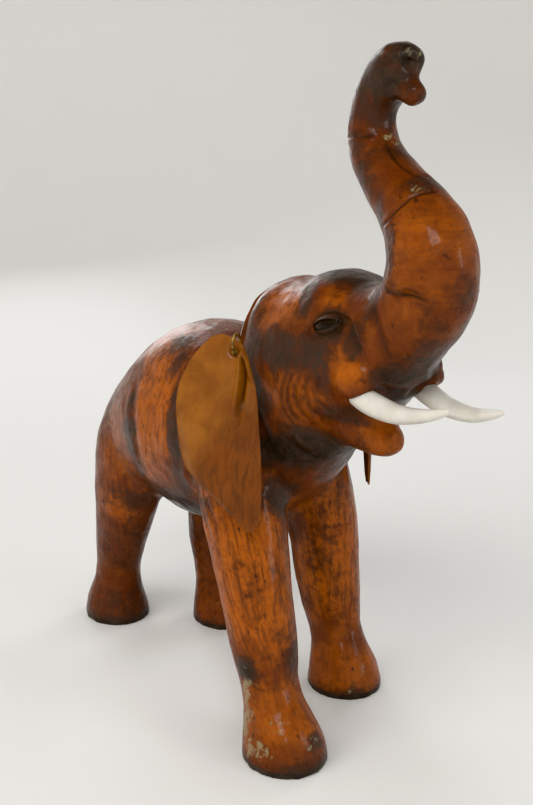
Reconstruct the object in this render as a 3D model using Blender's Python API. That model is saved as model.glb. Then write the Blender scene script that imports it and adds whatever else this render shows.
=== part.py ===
"""A trunk-up elephant figure: carved wood blocks pegged together under a glued leather skin.

Metres, +Z up, head towards +X. The forms are written in a sculpting frame whose origin is the
middle of the four feet on the ground, and FIGURE_FRAME moves them all so that the origin is the
middle of the whole figure's base. Every piece is cut from three nested skins: the outside of the
leather, the inside of the leather, and the wood.
"""

import math

import bmesh
import bpy
import numpy as np
from mathutils import Matrix, Vector

# ---- driving dimensions ----
LEATHER = 0.0022  # thickness of the skin
GLUE = 0.0034  # glue and padding between the skin and the wood
SEAM = 0.0004  # gap where two leather panels meet
CLEAR = 0.0003  # gap round anything let into the wood
SOLE = 0.006  # thickness of the sole under each foot
ANKLE = 0.052  # height of the seam between foot and leg leather
FIGURE_FRAME = (-0.0480, 0.0, 0.0)  # from the sculpting frame's origin to the figure's own

VOXEL = 0.0035  # fineness of the blended skin, before it is thinned
BLEND_PASSES = 14  # smoothing that turns the crossings of the forms into soft creases
REACH = 1.2  # size of a block that stands for half of space
OUTER_FACES = 3000
INNER_FACES = 2100
WOOD_FACES = 1400

# ---- body forms: centre x, y, z, half width, half depth ----
TORSO = (
    (-0.209, 0.0, 0.194, 0.022, 0.026),
    (-0.199, 0.0, 0.194, 0.038, 0.041),
    (-0.176, 0.0, 0.196, 0.053, 0.055),
    (-0.145, 0.0, 0.205, 0.064, 0.065),
    (-0.105, 0.0, 0.220, 0.074, 0.077),
    (-0.055, 0.0, 0.236, 0.082, 0.093),
    (-0.005, 0.0, 0.241, 0.082, 0.093),
    (0.045, 0.0, 0.249, 0.074, 0.082),
    (0.085, 0.0, 0.268, 0.062, 0.071),
    (0.115, 0.0, 0.290, 0.053, 0.064),
    (0.145, 0.0, 0.308, 0.050, 0.057),
)
HEAD = (
    (0.080, 0.0, 0.314, 0.040, 0.044),
    (0.096, 0.0, 0.320, 0.052, 0.058),
    (0.120, 0.0, 0.325, 0.057, 0.065),
    (0.150, 0.0, 0.331, 0.057, 0.066),
    (0.180, 0.0, 0.339, 0.051, 0.062),
    (0.208, 0.0, 0.350, 0.045, 0.050),
    (0.232, 0.0, 0.361, 0.039, 0.039),
    (0.248, 0.0, 0.367, 0.032, 0.032),
)
JAW = (
    (0.148, 0.0, 0.303, 0.036, 0.036),
    (0.176, 0.0, 0.290, 0.030, 0.028),
    (0.200, 0.0, 0.280, 0.022, 0.019),
    (0.218, 0.0, 0.276, 0.017, 0.015),
    (0.232, 0.0, 0.277, 0.010, 0.010),
)
TRUNK = (
    (0.215, 0.0, 0.353, 0.038, 0.037),
    (0.243, 0.0, 0.371, 0.036, 0.034),
    (0.259, 0.0, 0.390, 0.0345, 0.0355),
    (0.264, 0.0, 0.412, 0.0335, 0.0345),
    (0.257, 0.0, 0.434, 0.0310, 0.032),
    (0.241, 0.0, 0.452, 0.0270, 0.0275),
    (0.223, 0.0, 0.466, 0.0235, 0.0238),
    (0.207, 0.0, 0.480, 0.0215, 0.0217),
    (0.196, 0.0, 0.495, 0.0200, 0.0205),
    (0.192, 0.0, 0.511, 0.0185, 0.019),
    (0.195, 0.0, 0.526, 0.0175, 0.018),
    (0.205, 0.0, 0.539, 0.0185, 0.019),
    (0.216, 0.0, 0.548, 0.0195, 0.020),
    (0.226, 0.0, 0.553, 0.0150, 0.0155),
)
LEG_FRONT_RIGHT = (
    (0.052, -0.034, 0.255, 0.036, 0.044),
    (0.076, -0.042, 0.215, 0.038, 0.043),
    (0.097, -0.050, 0.180, 0.035, 0.038),
    (0.113, -0.055, 0.150, 0.0325, 0.034),
    (0.126, -0.057, 0.118, 0.0305, 0.032),
    (0.136, -0.058, 0.086, 0.0285, 0.030),
    (0.146, -0.059, 0.058, 0.0245, 0.0255),
    (0.153, -0.0595, 0.040, 0.0265, 0.028),
    (0.162, -0.0595, 0.020, 0.0325, 0.035),
    (0.168, -0.0595, 0.004, 0.0360, 0.0385),
    (0.169, -0.0595, -0.014, 0.0360, 0.0385),
)
LEG_FRONT_LEFT = (
    (0.045, 0.034, 0.250, 0.036, 0.044),
    (0.058, 0.044, 0.205, 0.036, 0.040),
    (0.065, 0.052, 0.168, 0.034, 0.036),
    (0.069, 0.056, 0.132, 0.0320, 0.033),
    (0.072, 0.058, 0.100, 0.0305, 0.031),
    (0.076, 0.060, 0.072, 0.0275, 0.028),
    (0.081, 0.0605, 0.052, 0.0240, 0.0245),
    (0.086, 0.0607, 0.037, 0.0265, 0.028),
    (0.092, 0.0607, 0.019, 0.0320, 0.034),
    (0.095, 0.0607, 0.004, 0.0350, 0.037),
    (0.096, 0.0607, -0.014, 0.0350, 0.037),
)
LEG_HIND_RIGHT = (
    (-0.120, -0.032, 0.225, 0.038, 0.046),
    (-0.131, -0.038, 0.190, 0.038, 0.049),
    (-0.138, -0.042, 0.155, 0.034, 0.042),
    (-0.146, -0.044, 0.120, 0.0295, 0.034),
    (-0.156, -0.044, 0.088, 0.0265, 0.028),
    (-0.164, -0.044, 0.060, 0.0235, 0.0245),
    (-0.167, -0.044, 0.040, 0.0255, 0.027),
    (-0.169, -0.0444, 0.020, 0.0315, 0.034),
    (-0.169, -0.0444, 0.004, 0.0345, 0.037),
    (-0.169, -0.0444, -0.014, 0.0345, 0.037),
)
LEG_HIND_LEFT = (
    (-0.100, 0.032, 0.225, 0.038, 0.048),
    (-0.101, 0.038, 0.190, 0.038, 0.048),
    (-0.104, 0.042, 0.155, 0.033, 0.039),
    (-0.109, 0.044, 0.120, 0.0285, 0.032),
    (-0.114, 0.045, 0.088, 0.0260, 0.027),
    (-0.112, 0.0455, 0.060, 0.0230, 0.024),
    (-0.107, 0.046, 0.040, 0.0250, 0.0265),
    (-0.099, 0.046, 0.020, 0.0310, 0.034),
    (-0.094, 0.046, 0.004, 0.0345, 0.037),
    (-0.093, 0.046, -0.014, 0.0345, 0.037),
)
LEGS = {
    "front_right": LEG_FRONT_RIGHT,
    "front_left": LEG_FRONT_LEFT,
    "hind_right": LEG_HIND_RIGHT,
    "hind_left": LEG_HIND_LEFT,
}
# Round forms blended in: centre, radii.
LUMPS = (
    ((0.168, 0.0, 0.378), (0.040, 0.040, 0.026)),  # brow
    ((0.108, 0.0, 0.351), (0.034, 0.051, 0.042)),  # skull
    ((0.216, 0.035, 0.326), (0.024, 0.014, 0.017)),  # tusk sheaths
    ((0.218, -0.034, 0.326), (0.024, 0.014, 0.017)),
    ((0.252, 0.0, 0.358), (0.018, 0.024, 0.017)),  # upper lip under the trunk
    ((0.222, 0.0, 0.556), (0.021, 0.018, 0.014)),  # hood of the trunk tip
    ((0.238, 0.0, 0.532), (0.0115, 0.0115, 0.0105)),  # finger of the trunk tip
)

# ---- seams: a point on each and the way it faces ----
NECK = (Vector((0.092, 0.0, 0.310)), Vector((0.95, 0.0, 0.31)).normalized())
THROAT_HEIGHT = 0.222  # the neck seam ends here, above the front legs
TRUNK_ROOT = (Vector((0.262, 0.0, 0.396)), Vector((0.20, 0.0, 0.98)).normalized())
TRUNK_BAND = (Vector((0.236, 0.0, 0.459)), Vector((-0.72, 0.0, 0.69)).normalized())
TRUNK_NECK = (Vector((0.192, 0.0, 0.508)), Vector((0.05, 0.0, 1.0)).normalized())
TRUNK_CORE_END = 0.522  # the leather tip beyond this is stuffed, not carved
LEG_BOXES = {  # x range and the height of the seam on the flank and between the legs
    "front_right": (0.022, 0.30, 0.232, 0.176),
    "front_left": (0.010, 0.30, 0.232, 0.176),
    "hind_right": (-0.32, -0.076, 0.222, 0.170),
    "hind_left": (-0.32, -0.056, 0.222, 0.170),
}
BOX_INNER, BOX_OUTER = 0.006, 0.130  # the leg boxes' sides, from the middle of the body
FLANK = 0.085  # where the flank height of the seam is measured

# ---- ears: (behind the root, below the root), down the rear edge and down the front edge ----
EAR_ROOT = Vector((0.1125, -0.0625, 0.3400))
EAR_ALONG = Vector((-0.829, -0.559, 0.0)).normalized()  # from the root towards the rear edge
EAR_HANG = {  # how far each hanging ear leans out, and how far its tip swings back
    "right": (math.radians(12.7), 0.0),
    "left": (math.radians(4.0), math.radians(18.0)),
}
EAR_THICK = 0.0020
EAR_BULGE = 0.007
EAR_REAR = (
    (0.020, -0.0082),
    (0.028, -0.0050),
    (0.038, 0.0050),
    (0.047, 0.018),
    (0.054, 0.036),
    (0.055, 0.054),
    (0.0525, 0.071),
    (0.049, 0.086),
    (0.043, 0.100),
    (0.032, 0.112),
    (0.015, 0.125),
    (-0.004, 0.139),
    (-0.016, 0.149),
)
EAR_FRONT = (
    (0.018, -0.0083),
    (0.009, -0.0055),
    (0.001, -0.0015),
    (-0.004, 0.006),
    (-0.008, 0.015),
    (-0.012, 0.026),
    (-0.0155, 0.042),
    (-0.019, 0.064),
    (-0.0235, 0.092),
    (-0.0255, 0.112),
    (-0.0262, 0.128),
    (-0.0245, 0.141),
    (-0.0205, 0.149),
)
EAR_HOLE = (0.0055, 0.0050)  # the tie's hole, on the hinge axis
EAR_HOLE_RADIUS = 0.0036
TIE_RING = 0.0072  # radius of the thong loop
TIE_THONG = 0.0011  # radius of the thong itself
LOOP_STEPS, LOOP_SIDES = 18, 6

# ---- eyes, tusks, pegs and tail ----
EYE_CENTRE = Vector((0.1950, -0.0375, 0.3660))
EYE_RADII = (0.0140, 0.0110, 0.0088)
EYE_TURN = (0.0, math.radians(-8), math.radians(24))
TUSKS = {  # centre x, y, z, radius; hand-set, so the two differ
    "right": (
        (0.206, -0.0300, 0.3220, 0.0070),
        (0.225, -0.0315, 0.3155, 0.0084),
        (0.242, -0.0330, 0.3130, 0.0086),
        (0.263, -0.0340, 0.3116, 0.0076),
        (0.282, -0.0345, 0.3133, 0.0060),
        (0.301, -0.0340, 0.3174, 0.0045),
        (0.318, -0.0327, 0.3232, 0.0025),
    ),
    "left": (
        (0.204, 0.0290, 0.3220, 0.0070),
        (0.2226, 0.0300, 0.3141, 0.0082),
        (0.234, 0.0305, 0.3100, 0.0084),
        (0.248, 0.0310, 0.3055, 0.0078),
        (0.265, 0.0315, 0.3034, 0.0067),
        (0.2815, 0.0315, 0.3043, 0.0054),
        (0.298, 0.0310, 0.3086, 0.0037),
        (0.307, 0.0306, 0.3115, 0.0022),
    ),
}
PEG_SIDES = 12
PEGS = {  # centre, way it points, radius, half length, and the two blocks it joins
    "neck": (NECK[0], NECK[1], 0.0100, 0.032),
    "trunk": (Vector((0.262, 0.0, 0.392)), Vector((0.12, 0.0, 0.99)).normalized(), 0.0070, 0.024),
}
LEG_PEG_RADIUS, LEG_PEG_HALF = 0.0080, 0.026
TAIL_TOP = Vector((-0.2050, 0.0, 0.2400))
TAIL = (  # centre x, y, z below the tack, and radius
    (0.0000, 0.0, 0.0060, 0.0030),
    (-0.0020, 0.0, -0.0060, 0.0032),
    (-0.0080, 0.0, -0.0180, 0.0032),
    (-0.0125, 0.0, -0.0340, 0.0031),
    (-0.0140, 0.0, -0.0660, 0.0029),
    (-0.0135, 0.0, -0.0960, 0.0027),
)
TUFT_LENGTH = 0.030
TACK_RADIUS = 0.0010
TACK_HEAD = 0.0026
TACK_STANDOFF = 0.0016  # lets the tail swing under the head


# ---- scene and materials ----
def clear_scene():
    for item in list(bpy.data.objects):
        bpy.data.objects.remove(item, do_unlink=True)


def material(name, colour, roughness, metallic=0.0):
    made = bpy.data.materials.new(name)
    made.use_nodes = True
    shader = made.node_tree.nodes["Principled BSDF"]
    shader.inputs["Base Color"].default_value = (*colour, 1.0)
    shader.inputs["Roughness"].default_value = roughness
    shader.inputs["Metallic"].default_value = metallic
    return made


def place(name, mesh, finish=None, at=(0.0, 0.0, 0.0)):
    """A new object of the figure. With no finish it is a hidden guide or cutter."""
    made = bpy.data.objects.new(name, mesh)
    bpy.context.scene.collection.objects.link(made)
    made.parent = figure_frame
    made.location = at
    if finish is None:
        made.hide_render = True
        made.display_type = "WIRE"
    else:
        mesh.materials.clear()
        mesh.materials.append(finish)
    return made


def mesh_from(shape, name):
    """A mesh from a bmesh, facing out, smooth but for its real edges."""
    bmesh.ops.recalc_face_normals(shape, faces=shape.faces[:])
    mesh = bpy.data.meshes.new(name)
    shape.to_mesh(mesh)
    shape.free()
    mesh.shade_smooth()
    mesh.set_sharp_from_angle(angle=math.radians(40))
    return mesh


# ---- lofted forms ----
def smooth_rows(stations, steps):
    """Catmull-Rom rows through the stations, with `steps` rows to each stretch."""
    rows = np.array(stations, float)
    padded = np.vstack([2 * rows[0] - rows[1], rows, 2 * rows[-1] - rows[-2]])
    found = []
    for before, start, end, after in zip(padded, padded[1:], padded[2:], padded[3:]):
        for step in range(steps):
            t = step / steps
            slope = (end - before) * t
            bend = (2 * before - 5 * start + 4 * end - after) * t**2
            twist = (3 * start - before - 3 * end + after) * t**3
            found.append(0.5 * (2 * start + slope + bend + twist))
    found.append(rows[-1])
    return np.array(found)


def add_tube(shape, stations, steps=4, sides=24):
    """Lofts ellipses along the stations' centres: half width across the body, half depth in its plane."""
    rows = smooth_rows(stations, steps)
    headings = np.gradient(rows[:, :3], axis=0)
    rings = []
    for row, heading in zip(rows, headings):
        heading = Vector(heading).normalized()
        side = Vector((0.0, 1.0, 0.0))
        side = (side - side.dot(heading) * heading).normalized()
        up = heading.cross(side)
        ring = []
        for number in range(sides):
            angle = 2 * math.pi * number / sides
            offset = side * row[3] * math.cos(angle) + up * row[-1] * math.sin(angle)
            ring.append(shape.verts.new(Vector(row[:3]) + offset))
        rings.append(ring)
    for ring, after in zip(rings, rings[1:]):
        for number in range(sides):
            other = (number + 1) % sides
            shape.faces.new((ring[number], ring[other], after[other], after[number]))
    shape.faces.new(rings[0][::-1])
    shape.faces.new(rings[-1])


def add_ball(shape, centre, radii, turn=(0.0, 0.0, 0.0), segments=24, rings=16):
    size = Matrix.Diagonal((*radii, 1.0))
    facing = Matrix.LocRotScale(Vector(centre), None, None) @ turn_matrix(turn)
    bmesh.ops.create_uvsphere(
        shape, u_segments=segments, v_segments=rings, radius=1.0, matrix=facing @ size
    )


def turn_matrix(turn):
    about_x, about_y, about_z = (Matrix.Rotation(a, 4, axis) for a, axis in zip(turn, "XYZ"))
    return about_z @ about_y @ about_x


def add_rod(shape, centre, heading, radius, half_length, sides=PEG_SIDES):
    facing = Matrix.Translation(centre) @ heading.to_track_quat("Z", "Y").to_matrix().to_4x4()
    bmesh.ops.create_cone(
        shape,
        cap_ends=True,
        segments=sides,
        radius1=radius,
        radius2=radius,
        depth=2 * half_length,
        matrix=facing,
    )


# ---- the three nested skins ----
def sculpted_form():
    """Every body form in one mesh, remeshed into a single blended surface."""
    shape = bmesh.new()
    for stations in (TORSO, HEAD, JAW, TRUNK, *LEGS.values()):
        add_tube(shape, stations)
    for centre, radii in LUMPS:
        add_ball(shape, centre, radii)
    form = place("form_guide", mesh_from(shape, "form_guide"))
    remesh = form.modifiers.new("blend", "REMESH")
    remesh.mode = "VOXEL"
    remesh.voxel_size = VOXEL
    soften = form.modifiers.new("soften", "SMOOTH")
    soften.factor = 0.5
    soften.iterations = BLEND_PASSES
    return form


def evaluated_mesh(item, name):
    graph = bpy.context.evaluated_depsgraph_get()
    mesh = bpy.data.meshes.new_from_object(item.evaluated_get(graph), depsgraph=graph)
    mesh.name = name
    return mesh


def skin(name, form_mesh, inset, faces):
    """The blended surface moved inwards by inset and thinned to about so many triangles."""
    guide = place(name + "_guide", form_mesh.copy())
    if inset:
        shrink = guide.modifiers.new("shrink", "DISPLACE")
        shrink.direction = "NORMAL"
        shrink.mid_level = 0.0
        shrink.strength = -inset
    thin = guide.modifiers.new("thin", "DECIMATE")
    thin.ratio = faces / (2 * len(form_mesh.polygons))
    thin.use_collapse_triangulate = True
    return evaluated_mesh(guide, name)


def hollow(outer, inner):
    """The leather between two skins, as one mesh."""
    shape = bmesh.new()
    shape.from_mesh(inner)
    bmesh.ops.reverse_faces(shape, faces=shape.faces[:])
    shape.from_mesh(outer)
    mesh = bpy.data.meshes.new("leather")
    shape.to_mesh(mesh)
    shape.free()
    mesh.shade_smooth()
    return mesh


# ---- cutting ----
def cut(item, cutter, operation="DIFFERENCE"):
    step = item.modifiers.new(cutter.name, "BOOLEAN")
    step.operation = operation
    step.solver = "EXACT"
    step.object = cutter


def keep(item, cutter):
    cut(item, cutter, "INTERSECT")


def half_space(name, point, normal, gap=SEAM):
    """A block filling the side of a plane that the normal points to, half a gap away from it."""
    shape = bmesh.new()
    facing = normal.to_track_quat("Z", "Y").to_matrix().to_4x4()
    centre = Vector(point) + normal * (REACH / 2 + gap / 2)
    bmesh.ops.create_cube(shape, size=REACH, matrix=Matrix.Translation(centre) @ facing)
    return place(name, mesh_from(shape, name))


def leg_seam_height(leg, y):
    """The seam over a leg climbs from between the legs to the flank."""
    _, _, flank_z, inner_z = LEG_BOXES[leg]
    return inner_z + (flank_z - inner_z) * (y - BOX_INNER) / (FLANK - BOX_INNER)


def leg_block(name, leg, grow):
    """The space that belongs to one leg."""
    low_x, high_x = LEG_BOXES[leg][:2]
    side = -1.0 if leg.endswith("right") else 1.0
    shape = bmesh.new()
    corners = []
    for x in (low_x - grow, high_x + grow):
        for y in (BOX_INNER - grow, BOX_OUTER):
            top = leg_seam_height(leg, y) + grow
            corners.append((Vector((x, side * y, -0.1)), Vector((x, side * y, top))))
    verts = [shape.verts.new(point) for pair in corners for point in pair]
    near_in, near_out, far_in, far_out = (verts[2 * i : 2 * i + 2] for i in range(4))
    for a, b in ((near_in, near_out), (near_out, far_out), (far_out, far_in), (far_in, near_in)):
        shape.faces.new((a[0], b[0], b[1], a[1]))
    shape.faces.new([pair[0] for pair in (near_in, far_in, far_out, near_out)])
    shape.faces.new([pair[1] for pair in (near_in, near_out, far_out, far_in)])
    return place(name, mesh_from(shape, name))


def head_block(name, grow):
    """The space in front of the neck seam and above the throat."""
    point, normal = NECK[0] - NECK[1] * grow, NECK[1]
    climb = Vector((-normal.z, 0.0, normal.x))
    throat = THROAT_HEIGHT - grow
    corner = point + climb * ((throat - point.z) / climb.z)
    nape = corner + climb * REACH
    outline = (corner, nape, nape + Vector((REACH, 0, 0)), corner + Vector((REACH, 0, 0)))
    shape = bmesh.new()
    rings = []
    for y in (-REACH / 2, REACH / 2):
        rings.append([shape.verts.new((corner.x, y, corner.z)) for corner in outline])
    shape.faces.new(rings[0])
    shape.faces.new(rings[1][::-1])
    for start in range(4):
        end = (start + 1) % 4
        shape.faces.new((rings[0][start], rings[0][end], rings[1][end], rings[1][start]))
    return place(name, mesh_from(shape, name))


def make_cutters():
    """Both sides of every seam."""
    made = {}
    for name, (point, normal) in {
        "root": TRUNK_ROOT,
        "band": TRUNK_BAND,
        "trunk_neck": TRUNK_NECK,
        "middle": (Vector((0, 0, 0)), Vector((0, 1, 0))),
        "core_end": (Vector((0, 0, TRUNK_CORE_END)), Vector((0, 0, 1))),
        "ankle": (Vector((0, 0, ANKLE)), Vector((0, 0, 1))),
        "sole": (Vector((0, 0, SOLE)), Vector((0, 0, 1))),
    }.items():
        made[name, "after"] = half_space(f"after_{name}_cutter", point, normal)
        made[name, "before"] = half_space(f"before_{name}_cutter", point, -normal)
    made["ground"] = half_space("ground_cutter", Vector((0, 0, 0)), Vector((0, 0, 1)), gap=0.0)
    made["head", "inside"] = head_block("head_inside_cutter", 0.0)
    made["head", "outside"] = head_block("head_outside_cutter", SEAM)
    for leg in LEGS:
        made[leg, "inside"] = leg_block(f"{leg}_inside_cutter", leg, 0.0)
        made[leg, "outside"] = leg_block(f"{leg}_outside_cutter", leg, SEAM)
    return made


# ---- wood and leather ----
def piece(name, source, finish, *kept):
    made = place(name, source.copy(), finish)
    for cutter in kept:
        keep(made, cutter)
    return made


def make_trunk_and_head(made, skins, cutters, finishes):
    head_side = (cutters["head", "inside"], cutters["root", "before"])
    after_root = cutters["root", "after"]
    made["head_core"] = piece("head_core", skins["wood"], finishes["wood"], *head_side)
    trunk_wood = (after_root, cutters["core_end", "before"])
    made["trunk_core"] = piece("trunk_core", skins["wood"], finishes["wood"], *trunk_wood)
    leather = skins["leather"]
    made["head_leather"] = piece("head_leather", leather, finishes["leather"], *head_side)
    for name, kept in {
        "trunk_leather_base": (after_root, cutters["band", "before"]),
        "trunk_leather_middle": (
            after_root,
            cutters["band", "after"],
            cutters["trunk_neck", "before"],
        ),
        "trunk_leather_tip": (cutters["trunk_neck", "after"],),
    }.items():
        made[name] = piece(name, leather, finishes["dark_leather"], *kept)


def make_torso(made, skins, cutters, finishes):
    made["torso_core"] = piece("torso_core", skins["wood"], finishes["wood"])
    for name, half in (("left", "after"), ("right", "before")):
        name = f"torso_leather_{name}"
        made[name] = piece(name, skins["leather"], finishes["leather"], cutters["middle", half])
    for name in ("torso_core", "torso_leather_left", "torso_leather_right"):
        for region in ("head", *LEGS):
            cut(made[name], cutters[region, "outside"])


def make_leg(made, leg, skins, cutters, finishes):
    inside = cutters[leg, "inside"]
    above_sole = cutters["sole", "after"]
    for name, source, finish, kept in (
        ("core", "wood", "wood", (above_sole,)),
        ("leather", "leather", "leather", (cutters["ankle", "after"],)),
        ("foot", "leather", "dark_leather", (cutters["ankle", "before"], above_sole)),
        ("sole", "outside", "sole", (cutters["sole", "before"], cutters["ground"])),
    ):
        name = f"leg_{name}_{leg}" if name in ("core", "leather") else f"{name}_{leg}"
        made[name] = piece(name, skins[source], finishes[finish], inside, *kept)


# ---- pegs let into the wood ----
def make_peg(made, name, centre, heading, radius, half_length, blocks, finish):
    peg = bmesh.new()
    add_rod(peg, centre, heading, radius, half_length)
    made[name] = place(name, mesh_from(peg, name), finish)
    socket = bmesh.new()
    add_rod(socket, centre, heading, radius + CLEAR, half_length + CLEAR)
    socket = place(name + "_cutter", mesh_from(socket, name + "_cutter"))
    for block in blocks:
        cut(made[block], socket)


def make_pegs(made, finish):
    for name, blocks in (("neck", ("torso_core", "head_core")), ("trunk", ("head_core", "trunk_core"))):
        make_peg(made, f"{name}_peg", *PEGS[name], blocks, finish)
    for leg, stations in LEGS.items():
        top, knee = Vector(stations[1][:3]), Vector(stations[2][:3])
        heading = (top - knee).normalized()
        height = leg_seam_height(leg, abs(top.y))
        centre = knee + heading * ((height - knee.z) / heading.z)
        blocks = ("torso_core", f"leg_core_{leg}")
        make_peg(made, f"leg_peg_{leg}", centre, heading, LEG_PEG_RADIUS, LEG_PEG_HALF, blocks, finish)


# ---- eyes and tusks ----
def make_eye(made, side_name, side, finish):
    centre = Vector((EYE_CENTRE.x, -side * EYE_CENTRE.y, EYE_CENTRE.z))
    turn = (EYE_TURN[0], EYE_TURN[1], -side * EYE_TURN[2])
    name = f"eye_{side_name}"
    for label, grow in ((name, 0.0), (name + "_cutter", CLEAR)):
        shape = bmesh.new()
        radii = [radius + grow for radius in EYE_RADII]
        add_ball(shape, centre, radii, turn, segments=16, rings=8)
        mesh = mesh_from(shape, label)
        item = place(label, mesh, finish if label == name else None)
        if label == name:
            made[name] = item
    for block in ("head_core", "head_leather"):
        cut(made[block], item)


def tusk_shape(side_name, grow):
    shape = bmesh.new()
    rows = [(x, y, z, r + grow, r + grow) for x, y, z, r in TUSKS[side_name]]
    rows[0] = (rows[0][0] - grow, *rows[0][1:])
    add_tube(shape, rows, steps=1, sides=12)
    return shape


def make_tusk(made, side_name, finish):
    name = f"tusk_{side_name}"
    made[name] = place(name, mesh_from(tusk_shape(side_name, 0.0), name), finish)
    socket = place(name + "_cutter", mesh_from(tusk_shape(side_name, CLEAR), name + "_cutter"))
    for block in ("head_core", "head_leather"):
        cut(made[block], socket)


# ---- ears ----
def ear_axes(side_name, side):
    """The hinge's direction, then along the ear, down it, and out of it."""
    flare, swing = EAR_HANG[side_name]
    hinge = Vector((EAR_ALONG.x, -side * EAR_ALONG.y, 0.0))
    level_out = Vector((-side * hinge.y, side * hinge.x, 0.0)) * -1.0
    hanging = Vector((0, 0, -1)) * math.cos(flare) + level_out * math.sin(flare)
    along = hinge * math.cos(swing) - hanging * math.sin(swing)
    down = hanging * math.cos(swing) + hinge * math.sin(swing)
    return hinge, along, down, along.cross(down) * -side


def ear_point(across, low, high, axes):
    """A point of the ear's mid-surface, `across` from the rear edge to the front edge."""
    _, along, down, out = axes
    back = low[0] + (high[0] - low[0]) * across
    drop = low[1] + (high[1] - low[1]) * across
    length = EAR_REAR[-1][1] - EAR_REAR[0][1]
    crown = math.sin(math.pi * across) * math.sin(math.pi * (drop - EAR_REAR[0][1]) / length)
    return along * back + down * drop + out * EAR_BULGE * crown


def make_ear(made, side_name, side, finish, thong):
    root = Vector((EAR_ROOT.x, -side * EAR_ROOT.y, EAR_ROOT.z))
    axes = ear_axes(side_name, side)
    hinge, along, down, out = axes
    hole = root + along * EAR_HOLE[0] + down * EAR_HOLE[1]
    rear = smooth_rows(EAR_REAR, 1)
    front = smooth_rows(EAR_FRONT, 1)
    columns = 7
    shape = bmesh.new()
    grid = []
    for low, high in zip(rear, front):
        points = (ear_point(c / (columns - 1), low, high, axes) for c in range(columns))
        grid.append([shape.verts.new(root + point - hole) for point in points])
    for row, below in zip(grid, grid[1:]):
        for left, right, below_left, below_right in zip(row, row[1:], below, below[1:]):
            shape.faces.new((left, right, below_right, below_left))
    name = f"ear_{side_name}"
    made[name] = place(name, mesh_from(shape, name), finish, at=hole)
    thick = made[name].modifiers.new("thickness", "SOLIDIFY")
    thick.thickness = EAR_THICK
    thick.offset = 0.0
    eyelet = bmesh.new()
    add_rod(eyelet, hole, out, EAR_HOLE_RADIUS, 0.012, sides=12)
    cut(made[name], place(name + "_eyelet_cutter", mesh_from(eyelet, name + "_eyelet_cutter")))
    make_tie(made, side_name, hole, hinge, thong)


def make_tie(made, side_name, hole, hinge, finish):
    """A closed thong loop through the ear's eyelet and a slit in the head."""
    name = f"ear_tie_{side_name}"
    facing = hinge.to_track_quat("Z", "Y").to_matrix().to_4x4()
    centre = Matrix.Translation(hole + Vector((0, 0, TIE_RING)))
    for label, radius in ((name, TIE_THONG), (name + "_cutter", TIE_THONG + CLEAR)):
        shape = bmesh.new()
        rings = []
        for step in range(LOOP_STEPS):
            turn = Matrix.Rotation(2 * math.pi * step / LOOP_STEPS, 4, "Z")
            ring = []
            for number in range(LOOP_SIDES):
                angle = 2 * math.pi * number / LOOP_SIDES
                point = Vector((TIE_RING + radius * math.cos(angle), 0, radius * math.sin(angle)))
                ring.append(shape.verts.new(centre @ facing @ turn @ point))
            rings.append(ring)
        for ring, after in zip(rings, rings[1:] + rings[:1]):
            for number in range(LOOP_SIDES):
                other = (number + 1) % LOOP_SIDES
                shape.faces.new((ring[number], ring[other], after[other], after[number]))
        item = place(label, mesh_from(shape, label), finish if label == name else None)
        if label == name:
            made[name] = item
    for block in ("head_core", "head_leather"):
        cut(made[block], item)


# ---- tail ----
def make_tail(made, finishes):
    """A twisted thong that hangs from a tack in the rump and ends in a tuft."""
    thong = bmesh.new()
    add_tube(thong, [(*row, row[-1]) for row in TAIL], steps=2, sides=8)
    made["tail"] = place("tail", mesh_from(thong, "tail"), finishes["leather"], at=TAIL_TOP)
    hole = bmesh.new()
    add_rod(hole, TAIL_TOP, Vector((1, 0, 0)), TACK_RADIUS + CLEAR, 0.02, sides=10)
    cut(made["tail"], place("tail_hole_cutter", mesh_from(hole, "tail_hole_cutter")))
    tuft = bmesh.new()
    end = TAIL[-1]
    top = end[2] - CLEAR
    rows = [
        (end[0], 0.0, top, 0.0036, 0.0030),
        (end[0], 0.0, top - TUFT_LENGTH * 0.45, 0.0062, 0.0046),
        (end[0], 0.0, top - TUFT_LENGTH, 0.0016, 0.0014),
    ]
    add_tube(tuft, rows, steps=2, sides=10)
    tuft = mesh_from(tuft, "tail_tuft")
    made["tail_tuft"] = place("tail_tuft", tuft, finishes["dark_leather"], at=TAIL_TOP)
    make_tail_tack(made, finishes["brass"])


def make_tail_tack(made, finish):
    """A round-headed tack through the tail into the rump."""
    name = "tail_tack"
    behind = TAIL_TOP.x - TAIL[0][-1] - TACK_STANDOFF
    for label, grow in ((name, 0.0), (name + "_cutter", CLEAR)):
        shape = bmesh.new()
        rows = [
            (behind - 0.0016, 0.0, TAIL_TOP.z, 0.0012, 0.0012),
            (behind - 0.0010, 0.0, TAIL_TOP.z, TACK_HEAD, TACK_HEAD),
            (behind, 0.0, TAIL_TOP.z, TACK_HEAD, TACK_HEAD),
            (behind + 0.0001, 0.0, TAIL_TOP.z, TACK_RADIUS + grow, TACK_RADIUS + grow),
            (behind + 0.0340 + grow, 0.0, TAIL_TOP.z, TACK_RADIUS + grow, TACK_RADIUS + grow),
        ]
        add_tube(shape, rows, steps=1, sides=10)
        item = place(label, mesh_from(shape, label), finish if label == name else None)
        if label == name:
            made[name] = item
    for block in ("torso_core", "torso_leather_left", "torso_leather_right"):
        cut(made[block], item)


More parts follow.
